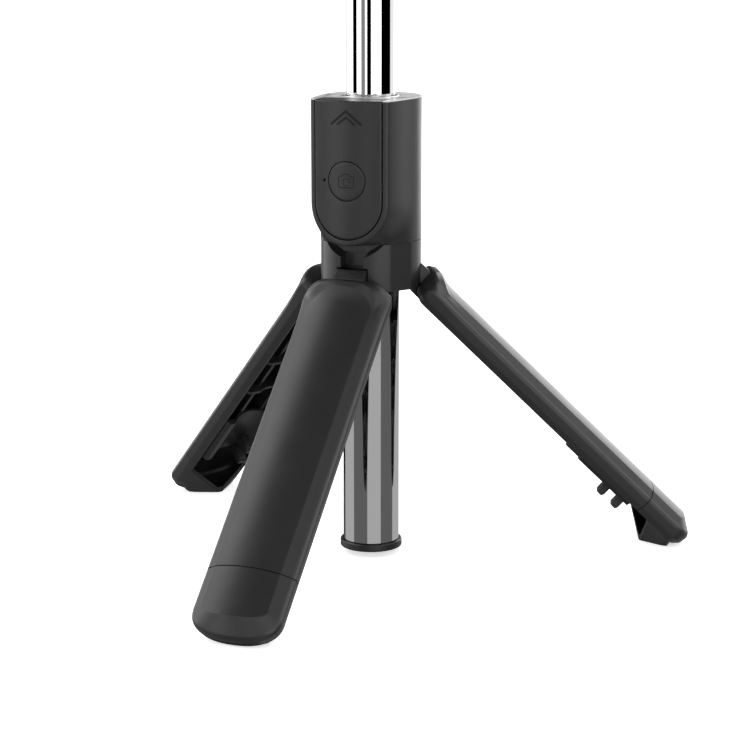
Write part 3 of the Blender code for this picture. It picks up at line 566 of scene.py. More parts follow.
def laminate(name):
    """Green circuit board with copper tracks that show faintly through the resist."""
    look = Look(name, (0.02, 0.12, 0.05), 0.35)
    tracks = look.add("ShaderNodeTexBrick")
    scale = look.add("ShaderNodeMapping")
    scale.inputs["Scale"].default_value = (700, 700, 700)
    scale.inputs["Rotation"].default_value = (math.radians(90), 0, 0)
    look.link(look.place, scale.inputs["Vector"])
    look.link(scale.outputs["Vector"], tracks.inputs["Vector"])
    tracks.inputs["Mortar Size"].default_value = 0.06
    look.link(look.tint(tracks.outputs["Fac"], 0.85, 1.8), look.shader.inputs["Base Color"])
    look.link(look.bump(tracks.outputs["Fac"], 0.02), look.shader.inputs["Normal"])
    return look.material


def lens(name):
    """Tinted clear light lens with a slightly uneven moulded face."""
    look = Look(name, (0.3, 0.35, 0.6), 0.12)
    look.set("Transmission Weight", 0.6)
    look.link(look.spread(look.noise(0.4, 2), 0.08, 0.2), look.shader.inputs["Roughness"])
    look.link(look.bump(look.noise(0.3, 2), 0.004), look.shader.inputs["Normal"])
    return look.material


# ---------------------------------------------------------------- handle housing

def front_y(x):
    """Depth of the bowed front face at x."""
    return FRONT_CREST_Y - FRONT_BOW * (x / FRONT_HALF_WIDTH) ** 2


def u_right(half_width, drop, top):
    """Right half of a U as (x, z), from the bottom of its round end up to top."""
    bend = [(half_width * math.sin(t), U_CENTRE - drop * math.cos(t)) for t in quarter(U_STEPS)]
    return bend + [(half_width, top)]


def flank(x, bulge=0.35, steps=8):
    """Plan points from the front corner at x back to where flank and round wall meet, and that azimuth."""
    corner = (x, -front_y(x))
    reach = math.hypot(*corner)
    azimuth = math.degrees(math.atan2(corner[0], -corner[1]) + math.acos(BODY_RADIUS / reach))
    touch = compass(BODY_RADIUS, azimuth)
    out = compass(bulge * 27 / 4, azimuth)
    points = []
    for i in range(steps + 1):
        t = i / steps
        push = t * (1 - t) ** 2
        points.append(tuple(c + (e - c) * t + o * push for c, e, o in zip(corner, touch, out)))
    return points, azimuth


def housing_row(outer, inner, steps=40):
    """One level of the housing: dock wall, front border, flank, round back, and the same on the left."""
    (x, z), (dock_x, dock_z) = outer, inner
    points, azimuth = flank(x)
    side = [(dock_x, -DOCK_BACK_Y, dock_z), (dock_x, -front_y(dock_x), dock_z)] + [(*p, z) for p in points]
    side = eased(side, [None, 0.22, 0.5] + [None] * (len(points) - 1))
    back = [(*compass(BODY_RADIUS, azimuth + (360 - 2 * azimuth) * i / steps), z) for i in range(1, steps)]
    left = [(-px, py, pz) for px, py, pz in reversed(side)]
    return side, side + back + left


def housing():
    top = BODY_TOP - PLATE_THICKNESS
    outer = u_right(FRONT_HALF_WIDTH, U_CENTRE - BODY_BOTTOM, top)
    inner = u_right(DOCK_HALF_WIDTH, DOCK_HALF_WIDTH, top)
    levels = [housing_row(*pair) for pair in zip(outer, inner)]
    rows = [row for _, row in levels]
    first = levels[0][0]
    mirrored = [(-x, y, z) for x, y, z in first]
    skin = Skin()
    skin.grid(rows)
    skin.strip(first, mirrored)
    skin.face(*rows[0][len(first) - 1:len(rows[0]) - len(first) + 1])
    skin.face(*rows[-1])
    floor = [(x, -DOCK_BACK_Y, z) for x, z in inner]
    skin.face(*floor, *[(-x, y, z) for x, y, z in reversed(floor)])
    shell = skin.build("body_housing_skin")
    return carve(shell, rod("cut_bore", BORE_RADIUS, BODY_BOTTOM - 5, BODY_TOP + 5, ROUND))


def u_outline(half, top, steps=2 * U_STEPS):
    """A closed U as (x, z), open towards the top."""
    return [(-half, top)] + arc(half, 180, 360, steps, (0, U_CENTRE)) + [(half, top)]


def dock_space():
    """The space that the remote slides in, open at the front and the top."""
    outline = u_outline(DOCK_HALF_WIDTH, BODY_TOP + 5)
    return extrude("cut_dock", outline, -DOCK_BACK_Y - 15, -DOCK_BACK_Y, along_y)


def top_plate():
    points, azimuth = flank(FRONT_HALF_WIDTH)
    front = [FRONT_HALF_WIDTH * (i / 12 - 1) for i in range(1, 24)]
    back = [compass(BODY_RADIUS, azimuth + (360 - 2 * azimuth) * i / 72) for i in range(1, 72)]
    left = [(-x, y) for x, y in reversed(points)]
    outline = [(x, -front_y(x)) for x in front] + points + back + left
    plate = extrude("top_plate_skin", outline, BODY_TOP - PLATE_THICKNESS + 0.02, BODY_TOP)
    soften(plate, 0.22, 3)
    carve(plate, rod("cut_bore", BORE_RADIUS, BODY_TOP - 5, BODY_TOP + 5, ROUND), dock_space())
    for side in (-1, 1):
        inner, outer = [[compass(radius, side * (SLOT_START + SLOT_SPAN * i / 10)) for i in range(11)]
                        for radius in SLOT_RADII]
        slot = flat(rounded(outer + inner[::-1], [0.5] + [0] * 9 + [0.5, 0.5] + [0] * 9 + [0.5], 3))
        carve(plate, extrude("cut_slot", slot, BODY_TOP - 5, BODY_TOP + 5))
    return plate


# ---------------------------------------------------------------- hub, cap and pole

def scoop():
    """A finger scoop under the dock: a funnel from the hub's face to a flat floor, level at its bottom."""
    rim_z = HUB_TOP + SCOOP_RADIUS - SCOOP_DROP
    floor_z = HUB_TOP + SCOOP_FLOOR_RADIUS - SCOOP_DROP
    stops = ((0, 3.0), (SCOOP_RADIUS + 1.0, 3.0), (SCOOP_RADIUS + 0.2, 0.25), (SCOOP_RADIUS, 0))
    rows = []
    for side in circle():
        row = []
        for radius, out in stops:
            x = radius * side[0]
            face = math.sqrt(max(SCOOP_FLOOR_Y ** 2, BODY_RADIUS ** 2 - x ** 2))
            row.append((x, -(face + out), rim_z + radius * side[1]))
        row.append((SCOOP_FLOOR_RADIUS * side[0], -SCOOP_FLOOR_Y, floor_z + SCOOP_FLOOR_RADIUS * side[1]))
        row.append((0, -SCOOP_FLOOR_Y, floor_z))
        rows.append(row)
    skin = Skin()
    skin.grid(rows, closed=True)
    return skin.build("cut_scoop")


def hub():
    outline = []
    for azimuth in AZIMUTHS.values():
        outline += [compass(BODY_RADIUS, azimuth + LOBE_HALF_ANGLE * (i / 16 - 1)) for i in range(33)]
    body = extrude("leg_hub_skin", outline, HUB_BOTTOM, HUB_TOP + 0.2)
    soften(body, 0.18, 2, 30)
    carve(body, rod("cut_bore", BORE_RADIUS, HUB_BOTTOM - 5, HUB_TOP + 5, ROUND))
    carve(body, scoop())
    pin = (-PIN_REACH, PIN_Z)
    half = SLOT_HALF_WIDTH
    for azimuth in AZIMUTHS.values():
        slot = box("cut_slot", (-half, -20, HUB_BOTTOM - 5), (half, -SLOT_BACK, SLOT_TOP))
        neck = box("cut_neck", (-NECK_HALF_WIDTH, -20, SLOT_TOP - 1),
                   (NECK_HALF_WIDTH, -NECK_BACK, SLOT_TOP + NECK_RISE))
        room = rod("cut_room", KNUCKLE_ROOM, 0.1 - half, half - 0.1, 32, pin, along_x)
        hole = rod("cut_hole", PIN_HOLE_RADIUS, -PIN_HOLE_REACH, PIN_HOLE_REACH, 24, pin, along_x)
        carve(body, *[turned_round(tool, azimuth) for tool in (slot, neck, room, hole)])
    for azimuth in HUB_SCREW_AZIMUTHS:
        place = compass(HUB_SCREW_REACH, azimuth)
        carve(body, rod("cut_head", SCREW_HEAD_RADIUS, HUB_BOTTOM - 1, HUB_BOTTOM + 2, 32, place))
        carve(body, rod("cut_shank", SCREW_SHANK_RADIUS, HUB_BOTTOM, HUB_TOP - 2, 24, place))
    return body


def tube(name, node, radius, wall=TUBE_WALL):
    """A thin tube as long as its CAD node, with its top rolled inwards."""
    start, end = low(node), high(node)
    inner = radius - wall
    roll = 0.25
    lip = [(radius - roll * (1 - math.cos(t)), end - roll * (1 - math.sin(t))) for t in quarter(5)]
    return turn(name, [(inner, start), (radius, start)] + lip + [(inner, end)])


def base_cap():
    """A flange with rounded rims and a hollow plug that fits the outer tube."""
    plug = OUTER_RADIUS - TUBE_WALL - 0.3
    bore = plug - 1.5
    top = high("base_cap")
    edge = 0.35
    lower = [(CAP_RADIUS - edge + edge * math.sin(t), edge - edge * math.cos(t)) for t in quarter(4)]
    upper = [(r, CAP_THICKNESS - h) for r, h in reversed(lower)]
    inside = [(plug, CAP_THICKNESS), (plug, top), (bore, top), (bore, CAP_THICKNESS), (0, CAP_THICKNESS)]
    return turn("base_cap_skin", [(0, 0)] + lower + upper + inside, closed=False)


def ring(name, node, inner, outer):
    """A plain ring as tall as its CAD node, with eased rims."""
    start, end = low(node), high(node)
    profile = [(inner, start), (outer, start), (outer, end - 0.15), (outer - 0.15, end), (inner + 0.15, end),
               (inner, end - 0.15)]
    return turn(name, profile)


# ---------------------------------------------------------------- remote

def remote_row(direction, level, half, back, inset, lowered):
    """From the remote's back edge over its rim to the middle. direction points from the middle to the rim."""
    shares = [1, 0.93, 0.84, 0.74, 0.63, 0.52, 0.41, 0.3, 0.2, 0.1, 0]
    x = half * direction[0]
    row = [(x, -back, level + half * direction[1])]
    for share in shares:
        px = x * share
        row.append((px, -(front_y(px) - inset - lowered), level + half * direction[1] * share))
    return eased(row, [None, 0.3] + [None] * len(shares))


def remote_sheet(half, back, inset, crown):
    """All rows of the remote's front, from its left top corner round its lower end to its right one."""
    bend = [(math.sin(t), -math.cos(t)) for t in quarter(U_STEPS)]
    right = [remote_row(direction, U_CENTRE, half, back, inset, 0) for direction in bend]
    right += [remote_row((1, 0), z, half, back, inset, lowered) for z, lowered in crown]
    left = [[(-x, y, z) for x, y, z in row] for row in reversed(right[1:])]
    return left + right


def remote_front_shell():
    """The remote's bowed front shell, hollow behind, with holes for the button and the light."""
    top = REMOTE_TOP
    crown = [(top - 0.55, 0), (top - 0.3, 0.06), (top - 0.12, 0.2), (top, 0.5)]
    outer = remote_sheet(REMOTE_HALF_WIDTH, REMOTE_SPLIT_Y, 0, crown)
    plain = [(z - REMOTE_WALL, 0) for z, _ in crown]
    inner = remote_sheet(REMOTE_HALF_WIDTH - REMOTE_WALL, REMOTE_SPLIT_Y, REMOTE_WALL, plain)
    skin = Skin()
    for sheet in (outer, inner):
        skin.grid(sheet)
        skin.face(*sheet[0], *reversed(sheet[-1]))
    skin.strip(*[[row[0] for row in sheet] + [sheet[0][0]] for sheet in (outer, inner)])
    shell = skin.build("remote_front_skin")
    carve(shell, bowed_plug("cut_button", BUTTON_RADIUS + 0.17, 0.18))
    carve(shell, rod("cut_light", 0.5, -25, 1 - REMOTE_SPLIT_Y, 32, (LED_X, BUTTON_Z), along_y))
    return shell


def bowed_plug(name, radius, flare):
    """A round cutter for the bowed front, flared where it meets the surface."""
    rows = []
    for side in circle():
        surface = front_y(radius * side[0])
        stops = [(0, FRONT_CREST_Y + 3), (radius + flare, FRONT_CREST_Y + 3), (radius + flare, surface),
                 (radius + 0.3 * flare, surface - 0.3 * flare), (radius, surface - flare),
                 (radius, REMOTE_SPLIT_Y - 1), (0, REMOTE_SPLIT_Y - 1)]
        rows.append([(r * side[0], -y, BUTTON_Z + r * side[1]) for r, y in stops])
    skin = Skin()
    skin.grid(rows, closed=True)
    return skin.build(name)


def remote_back():
    back, front = DOCK_BACK_Y + REMOTE_CLEARANCE, REMOTE_SPLIT_Y - 0.05
    outline = u_outline(REMOTE_HALF_WIDTH, REMOTE_TOP)
    cover = soften(extrude("remote_back_skin", outline, -front, -back, along_y), 0.3, 3)
    pocket = u_outline(REMOTE_HALF_WIDTH - REMOTE_WALL, REMOTE_TOP - REMOTE_WALL, U_STEPS)
    return carve(cover, extrude("cut_pocket", pocket, -front - 5, -back - REMOTE_WALL, along_y))


def shutter_button():
    """A round cap whose face follows the bowed front, with an eased rim and a short stem behind."""
    ease = 0.18
    face = [(share * (BUTTON_RADIUS - ease), 0) for share in (0, 0.15, 0.3, 0.45, 0.6, 0.75, 0.88, 1)]
    face += [(BUTTON_RADIUS - ease * (1 - math.sin(t)), ease * (1 - math.cos(t))) for t in quarter(3)[1:]]
    back, shoulder = BUTTON_BACK_Y, BUTTON_BACK_Y + BUTTON_FLANGE
    behind = ((BUTTON_RADIUS, shoulder), (STEM_RADIUS, shoulder), (STEM_RADIUS, back), (0, back))
    rows = []
    for side in circle():
        row = [(r * side[0], -(front_y(r * side[0]) - drop), BUTTON_Z + r * side[1]) for r, drop in face]
        row += [(r * side[0], -y, BUTTON_Z + r * side[1]) for r, y in behind]
        rows.append(row)
    skin = Skin()
    skin.grid(rows, closed=True)
    return skin.build("shutter_button_skin")


def raised_line(name, path, width, rise, closed=False, sunk=0.1):
    """A line in slight relief that follows the bowed front. path holds (x, z) points."""
    fine = []
    ends = path[1:] + path[:1] if closed else path[1:]
    for one, other in zip(path, ends):
        count = max(1, round(math.dist(one, other) / 0.4))
        fine += [(one[0] + (other[0] - one[0]) * i / count, one[1] + (other[1] - one[1]) * i / count)
                 for i in range(count)]
    if not closed:
        fine.append(path[-1])
    half = 0.5 * width
    section = [(half, -sunk), (half - rise, rise), (rise - half, rise), (-half, -sunk)]
    rows = []
    last = len(fine) - 1
    for i, (x, z) in enumerate(fine):
        before = fine[i - 1] if i or closed else fine[0]
        after = fine[(i + 1) % len(fine)] if i < last or closed else fine[last]
        arms = [Vector((x - before[0], z - before[1])), Vector((after[0] - x, after[1] - z))]
        arms = [arm.normalized() for arm in arms if arm.length > 1e-6]
        along = sum(arms, Vector((0, 0))).normalized()
        across = Vector((-along.y, along.x)) / max(0.4, along.dot(arms[0]))
        row = []
        for side, height in section + section[:1]:
            px = x + across.x * side
            row.append((px, -(front_y(px) + height), z + across.y * side))
        rows.append(row)
    skin = Skin()
    skin.grid(rows, closed=closed)
    if not closed:
        skin.face(*rows[0][:-1])
        skin.face(*rows[-1][:-1])
    return skin.build(name)


def chevrons():
    """Two nested arrows that point up, the way the remote slides out."""
    foot = REMOTE_TOP - CHEVRON_DROP
    return [raised_line("chevron_" + name, [(-reach, foot), (0, foot + rise), (reach, foot)], width, 0.08)
            for name, reach, rise, width in (("outer", 5.0, 4.1, 0.8), ("inner", 2.9, 2.2, 0.7))]


def camera_icon():
    """A plain camera outline: a rounded body with a viewfinder hump, and a round lens."""
    middle = BUTTON_Z - 0.2
    w, h = 2.5, 1.7
    body = [(-w, -h), (w, -h), (w, h), (1.3, h), (0.8, h + 0.7), (-0.8, h + 0.7), (-1.3, h), (-w, h)]
    outline = flat(rounded(body, [0.5, 0.5, 0.5, 0.2, 0.2, 0.2, 0.2, 0.5], 4))
    glass = arc(1.05, 0, 345, 23, (0, middle))
    return (raised_line("camera_icon_body", [(x, z + middle) for x, z in outline], 0.28, 0.03, True),
            raised_line("camera_icon_lens", glass, 0.26, 0.03, True))


# ---------------------------------------------------------------- legs

def end_curve(power):
    """From an end's middle to its side: (across, down) on a circle, then on a squarer curve of that power."""
    for t in quarter(END_STEPS):
        across, down = math.sin(t), max(0.0, math.cos(t))
        yield across, down, across ** (2 / power), down ** (2 / power)


def leg_outline(inset, stations):
    """Right half of a leg in plan, from its top to its tip.

    Each entry is (u, a) on the outer rim, (u, a) on the panel's border, the inward direction, the share of
    top and how far the shoulder bulges there.
    """
    half = LEG_HALF_WIDTH - inset
    panel = PANEL_HALF_WIDTH - 0.3 * inset
    top_centre, tip_centre = LEG_TOP_A + LEG_TOP_DEPTH, LEG_TIP_A - LEG_TIP_DEPTH
    entries = []
    for across, down, rim_across, rim_down in end_curve(LEG_TOP_POWER):
        rim = (half * rim_across, top_centre - (LEG_TOP_DEPTH - inset) * rim_down)
        border = (panel * across, PANEL_TOP_CENTRE - (PANEL_TOP_DEPTH - 0.2 * inset) * down)
        entries.append((rim, border, (-across, down), down, SHOULDER_BULGE * across ** 4))
    for a in stations:
        below = a - top_centre
        lag = max(0.0, PANEL_TOP_CENTRE - top_centre - 0.35 * below)
        bulge = SHOULDER_BULGE * max(0.0, 1 - below / SHOULDER_LENGTH) ** 2
        entries.append(((half, a), (panel, a + lag), (-1, 0), 0, bulge))
    for across, down, rim_across, rim_down in reversed(list(end_curve(LEG_TIP_POWER))):
        rim = (half * rim_across, tip_centre + (LEG_TIP_DEPTH - inset) * rim_down)
        border = (panel * across, tip_centre + (PANEL_TIP_DEPTH - 0.3 * inset) * down)
        entries.append((rim, border, (-across, -down), 0, 0))
    return entries


def panel_v(u, a):
    """Height of the bowed panel, which rises into a brow at the leg's top."""
    share = min(1.0, abs(u) / PANEL_HALF_WIDTH)
    border = PANEL_TOP_CENTRE - PANEL_TOP_DEPTH * math.sqrt(1 - share ** 2)
    fade = max(0.0, 1 - max(0.0, a - border) / BROW_LENGTH) ** 2
    return LEG_CREST_V - LEG_BOW * u ** 2 + BROW_RISE * (1 - share ** 2) * fade


def leg_rows(inset, stations=(), across=24):
    """Rows of a leg's skin, from its round top to its tip. Each runs from one open lip over to the other."""
    rows = []
    for rim, border, inward, top, bulge in leg_outline(inset, stations):
        tip = inward[1] ** 2 if inward[1] < 0 else 0.0
        lip = LEG_LIP_INSET + (LEG_TIP_LIP - LEG_LIP_INSET) * tip
        if inset:
            lip += LEG_LIP_THICKNESS - inset
        border_v = panel_v(*border) - inset
        rise = border_v - LEG_EDGE_V
        # Distance in from the rim and v, on the leg's sides and then at its top
        under = [
            (lip, LEG_LIP_V, 2.6, 7.9),
            (0.5 - 0.12 * inset, 9.2 - 0.3 * inset, 0.95, 9.2),
            (-bulge, LEG_EDGE_V + bulge - 0.15 * inset, 0.15, 11.0),
        ]
        # Share of the way from the rim to the panel's border and v, on the sides and then at the top
        over = [
            (0.14, LEG_EDGE_V + 0.3 * rise + bulge, 0.08, 16.2 - inset),
            (0.42, LEG_EDGE_V + 0.53 * rise + bulge, 0.15, 17.4 - inset),
            (0.72, LEG_EDGE_V + 0.77 * rise + 0.4 * bulge, 0.5, 18.6 - inset),
            (1, border_v, 1, border_v),
        ]
        side = []
        for side_in, side_v, top_in, top_v in under:
            distance = side_in + (top_in - side_in) * top ** 2
            side.append((max(0.0, rim[0] + inward[0] * distance), side_v + (top_v - side_v) * top ** 2,
                         rim[1] + inward[1] * distance))
        for side_in, side_v, top_in, top_v in over:
            share = side_in + (top_in - side_in) * top ** 1.3
            side.append((rim[0] + (border[0] - rim[0]) * share, side_v + (top_v - side_v) * top ** 1.3,
                         rim[1] + (border[1] - rim[1]) * share))
        panel_us = [border[0] * (1 - 2 * i / across) for i in range(1, across)]
        panel = [(p, panel_v(p, border[1]) - inset, border[1]) for p in panel_us]
        line = side + panel + [(-p, v, b) for p, v, b in reversed(side)]
        reaches = [None, 0.4, 0.6, 0.5, 0.5, 0.5, 0.25]
        reaches = reaches + [None] * len(panel) + reaches[::-1]
        rows.append([in_leg(b, v, p) for p, v, b in eased(line, reaches)])
    return rows


def tray(name, outer, inner, folded_start=False, folded_end=False):
    """A shell between an outer and an inner sheet, joined round their rims. A folded end needs no rim."""
    skin = Skin()
    skin.grid(outer)
    skin.grid(inner)
    skin.strip([row[0] for row in outer], [row[0] for row in inner])
    skin.strip([row[-1] for row in outer], [row[-1] for row in inner])
    if not folded_start:
        skin.strip(outer[0], inner[0])
    if not folded_end:
        skin.strip(outer[-1], inner[-1])
    return skin.build(name)


def leg_shell():
    seam = LEG_SEAM_A - LEG_SEAM_GAP / 2
    stations = (*LEG_STATIONS, seam)
    count = END_STEPS + 1 + len(stations)
    shell = tray("leg_shell_skin", leg_rows(0, stations)[:count], leg_rows(LEG_WALL, stations)[:count],
                 folded_start=True)
    half = SLOT_HALF_WIDTH
    carve(shell, box("cut_mouth", (-half, PIN_REACH - 16.75, -12), (half, PIN_REACH - 5, -3)))
    return carve(shell, rod("cut_notch", NOTCH_RADIUS, -30, 5, ROUND, (0, PIN_REACH)))


def foot_half_width(a, v):
    """Half the width of the foot at a and v. It follows the leg's tip and goes a little into its wall."""
    above_lip = max(0.0, v - LEG_LIP_V)
    side_inset = max(0.9, LEG_LIP_INSET + 0.3 - 0.8 * above_lip)
    tip_inset = max(0.9, LEG_TIP_LIP + 0.3 - 1.1 * above_lip)
    beyond = max(0.0, a - (LEG_TIP_A - LEG_TIP_DEPTH)) / (LEG_TIP_DEPTH - tip_inset)
    return (LEG_HALF_WIDTH - side_inset) * max(0.0, 1 - beyond ** LEG_TIP_POWER) ** (1 / LEG_TIP_POWER)


def foot_wedge(name, levels, wall=0.0, reach=0.0):
    """The foot's wedge. With a wall it is the pocket inside it, which opens out through the back slope."""
    rows = []
    for v in levels:
        side = (v - 0.2) * math.tan(math.radians(60)) - 2 * wall
        below = min(v, FOOT_TOP_V) - FOOT_APEX_V
        start = FOOT_APEX_A - below * FOOT_BACK_SLOPE - reach
        sole = FOOT_APEX_A + below * math.tan(math.radians(LEG_SPREAD)) - 1.4 * wall
        downs = [start + (sole - start) * i / 12 for i in range(13)]
        halves = [max(0.0, min(side, foot_half_width(a, v) - wall)) for a in downs]
        right = [in_leg(a, v, half) for a, half in zip(downs, halves)]
        rows.append(right + [(-u, y, z) for u, y, z in reversed(right)])
    skin = Skin()
    skin.grid([row + row[:1] for row in rows])
    skin.face(*rows[0])
    skin.face(*rows[-1])
    return skin.build(name)


def foot_collar():
    """A lip of the foot cap that reaches under the end of the leg's shell and closes the seam from inside."""
    outer, inner = [], []
    beneath, within = LEG_WALL + 0.06, LEG_WALL - 0.4
    for past_seam, inset in ((-1.8, beneath), (0.2, beneath), (0.5, within), (1.6, within)):
        station = (LEG_SEAM_A + past_seam,)
        for sheet, depth in ((outer, inset), (inner, LEG_WALL + 0.7)):
            sheet.append(leg_rows(depth, station)[END_STEPS + 1][2:-2])
    return tray("join_collar", outer, inner)


def leg_foot_cap():
    """The hollow end of the leg, with a hollow wedge foot that is flat on the ground when the leg is open."""
    seam = LEG_SEAM_A + LEG_SEAM_GAP / 2
    outer = leg_rows(0, (seam,))[END_STEPS + 1:]
    inner = leg_rows(LEG_WALL, (seam,))[END_STEPS + 1:]
    cap = tray("leg_foot_cap_skin", outer, inner, folded_end=True)
    join(cap, foot_collar())
    levels = (2.4, 3.2, 4.4, 5.6, 6.4, 7.2, 7.8, 8.4)
    join(cap, foot_wedge("join_wedge", (FOOT_APEX_V, *levels, 9.6)))
    return carve(cap, foot_wedge("cut_pocket", (1.9, *levels, 10.2), FOOT_WALL, 8))


def leg_tongue():
    knuckle = arc(2.1, 270, 110, 20, (0, PIN_REACH))
    tail = flat(rounded([(0.55, 16.3), (4.7, 16.5), (7.2, 14.6)], [0.4, 0.6, 0.4], 4))
    outline = knuckle + tail + [(23, 14.6), (23, 12.2), (8, 10.3), (1.9, 10.3)]
    half = TONGUE_HALF_WIDTH
    tongue = soften(extrude("leg_hinge_tongue_skin", outline, -half, half, in_leg), 0.25, 3)
    return carve(tongue, rod("cut_eye", 1.15, -20, 20, 32, place=along_x))


def hinge_frame(azimuth):
    """Where a leg's own frame stands while the leg is open."""
    pin = Vector((*compass(PIN_REACH, azimuth), PIN_Z)) * MM
    spread = Matrix.Rotation(math.radians(-LEG_SPREAD), 4, "X")
    return Matrix.Translation(pin) @ Matrix.Rotation(math.radians(azimuth), 4, "Z") @ spread


def legs(plastic, dark):
    """The three legs, each with copies of the same three skins."""
    parts = {"shell": leg_shell(), "foot_cap": leg_foot_cap(), "hinge_tongue": leg_tongue()}
    for name, azimuth in AZIMUTHS.items():
        for part, pattern in parts.items():
            thing = bpy.data.objects.new(f"leg_{name}_{part}_skin", pattern.data.copy())
            bpy.context.scene.collection.objects.link(thing)
            thing.matrix_world = hinge_frame(azimuth)
            dress(thing, plastic, f"leg_{name}", "leg_plastic", f"leg_{name}_{part}")
        keep(f"leg_{name}_rib_frame", dark, 0.2)
    for pattern in parts.values():
        bpy.data.objects.remove(pattern, do_unlink=True)


# ---------------------------------------------------------------- swivel head and clamp

def swivel_yoke():
    top = POLE_TOP
    profile = [(0, top + 1.6), (2.0, top + 1.6), (2.0, top + 7.3), (5.7, top + 7.3), (5.95, top + 7.45),
               (6.0, top + 7.7), (6.0, top + 9.9), (5.9, top + 10.2), (5.6, top + 10.3), (0, top + 10.3)]
    yoke = turn("swivel_yoke_skin", profile, 72, closed=False)
    ear = [(-EAR_RADIUS, top + 9.8), (EAR_RADIUS, top + 9.8)] + arc(EAR_RADIUS, 0, 180, 32, (0, TILT_Z))
    for start, end in ((-5.4, -3.1), (3.1, 5.4)):
        join(yoke, soften(extrude("join_ear", ear, start, end, along_x), 0.3, 3))
    return carve(yoke, rod("cut_hole", 1.65, -10, 10, 32, (0, TILT_Z), along_x))


def pole_top_cap():
    top = POLE_TOP
    radius = high("pole_tube_6", X) + 0.2
    profile = [(0, top - 10), (2.6, top - 10), (2.6, top + 0.3), (radius, top + 0.3), (radius, top - 2.5),
               (5.2, top - 2.5), (5.5, top - 2.35), (5.6, top - 2.1), (5.6, top + 6.4), (5.5, top + 6.8),
               (5.1, top + 7), (2.3, top + 7), (2.3, top + 1.3), (0, top + 1.3)]
    return turn("pole_top_cap_skin", profile, 72, closed=False)


def tilt_nut():
    """A finger nut with a rim of twelve scallops."""
    grip = []
    for i, side in enumerate(circle(144)):
        radius = 4.3 + 0.2 * math.tanh(2.5 * math.cos(2 * math.pi * i / 12))
        grip.append((radius * side[0], TILT_Z + radius * side[1]))
    nut = soften(extrude("tilt_nut_skin", grip, 5.7, 9.6, along_x), 0.3, 3, 50)
    return carve(nut, rod("cut_bore", 1.7, 0, 15, 32, (0, TILT_Z), along_x))


def clamp_lower():
    z = CLAMP_Z
    d, lip, inner, top = CLAMP_BACK_Y, CLAMP_LIP_Y, CLAMP_LIP_Y - CLAMP_LIP, z + GRIP_SPACE
    profile = [(d, z), (-lip, z), (-lip, z + 7), (-inner, z + 7), (-inner, z + 4), (-d, z + 4), (-d, top),
               (d, top)]
    outline = flat(rounded(profile, [2.2, 2.6, 0.8, 0.6, 0.5, 0.5, 0.5, 0.5], 6))
    half = CLAMP_HALF_WIDTH
    body = soften(extrude("clamp_lower_skin", outline, -half, half, along_x), 0.9, 4)
    knuckle = arc(EAR_RADIUS, 180, 360, 32, (0, TILT_Z))
    neck = [(-EAR_RADIUS, z + 1), (-EAR_RADIUS, TILT_Z)] + knuckle[1:] + [(EAR_RADIUS, z + 1)]
    join(body, soften(extrude("join_knuckle", neck, -2.8, 2.8, along_x), 0.25, 2))
    carve(body, rod("cut_hole", 1.7, -10, 10, 32, (0, TILT_Z), along_x))
    hollow = soften(box("cut_hollow", (-9.6, -2.9, z + 4), (9.6, 10, z + 46)), 0.4, 2)
    carve(body, hollow)
    for x in (-ROD_X, ROD_X):
        carve(body, rod("cut_rod", ROD_HOLE_RADIUS, z + 40, z + 60, 32, (x, 0)))
    for node in ("clamp_screw_lower", "clamp_screw_upper"):
        centre = (0, (low(node) + high(node)) / 2)
        join(body, rod("join_boss", 2.0, -3.4, 2.7, 32, centre, along_y))
        carve(body, rod("cut_boss", 1.0, -2.6, 5, 24, centre, along_y))
    return body


def clamp_upper():
    z = CLAMP_Z
    d, lip, inner = CLAMP_BACK_Y, CLAMP_LIP_Y, CLAMP_LIP_Y - CLAMP_LIP
    foot, ceiling, top = z + GRIP_SPACE + 0.4, z + 62, CLAMP_TOP
    profile = [(d, foot), (-d, foot), (-d, ceiling), (-inner, ceiling), (-inner, ceiling - 3),
               (-lip, ceiling - 3), (-lip, top), (d, top)]
    outline = flat(rounded(profile, [0.5, 0.5, 0.5, 0.6, 0.8, 0.8, 2.6, 2.2], 6))
    half = CLAMP_HALF_WIDTH
    jaw = soften(extrude("clamp_upper_skin", outline, -half, half, along_x), 0.9, 4)
    for x in (-ROD_X, ROD_X):
        carve(jaw, rod("cut_socket", ROD_HOLE_RADIUS, z + 45, z + 60, 32, (x, 0)))
    return jaw


def coil(name, node):
    """A round wire wound as long as its CAD node."""
    start, end = low(node), high(node)
    centre = (low(node, X) + high(node, X)) / 2
    wire = 0.28
    radius = high(node, X) - centre - wire
    turns, around, sides = 9, 28, 10
    section = circle(sides) + circle(sides)[:1]
    rows = []
    for i in range(turns * around + 1):
        angle = 2 * math.pi * i / around
        height = start + wire + (end - start - 2 * wire) * i / (turns * around)
        row = []
        for out, up in section:
            r = radius + wire * out
            row.append((centre + r * math.cos(angle), r * math.sin(angle), height + wire * up))
        rows.append(row)
    skin = Skin()
    skin.grid(rows)
    skin.face(*rows[0][:-1])
    skin.face(*rows[-1][:-1])
    return skin.build(name)


def springs(wire):
    """Springs for both sides of the clamp, each a coil of wire as long as its CAD node."""
    for side in ("left", "right"):
        node = f"clamp_spring_{side}"
        spring = dress(coil(node + "_wire", node), wire, "clamp", "fastener_steel", node)
        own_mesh(spring)


# ---------------------------------------------------------------- studio

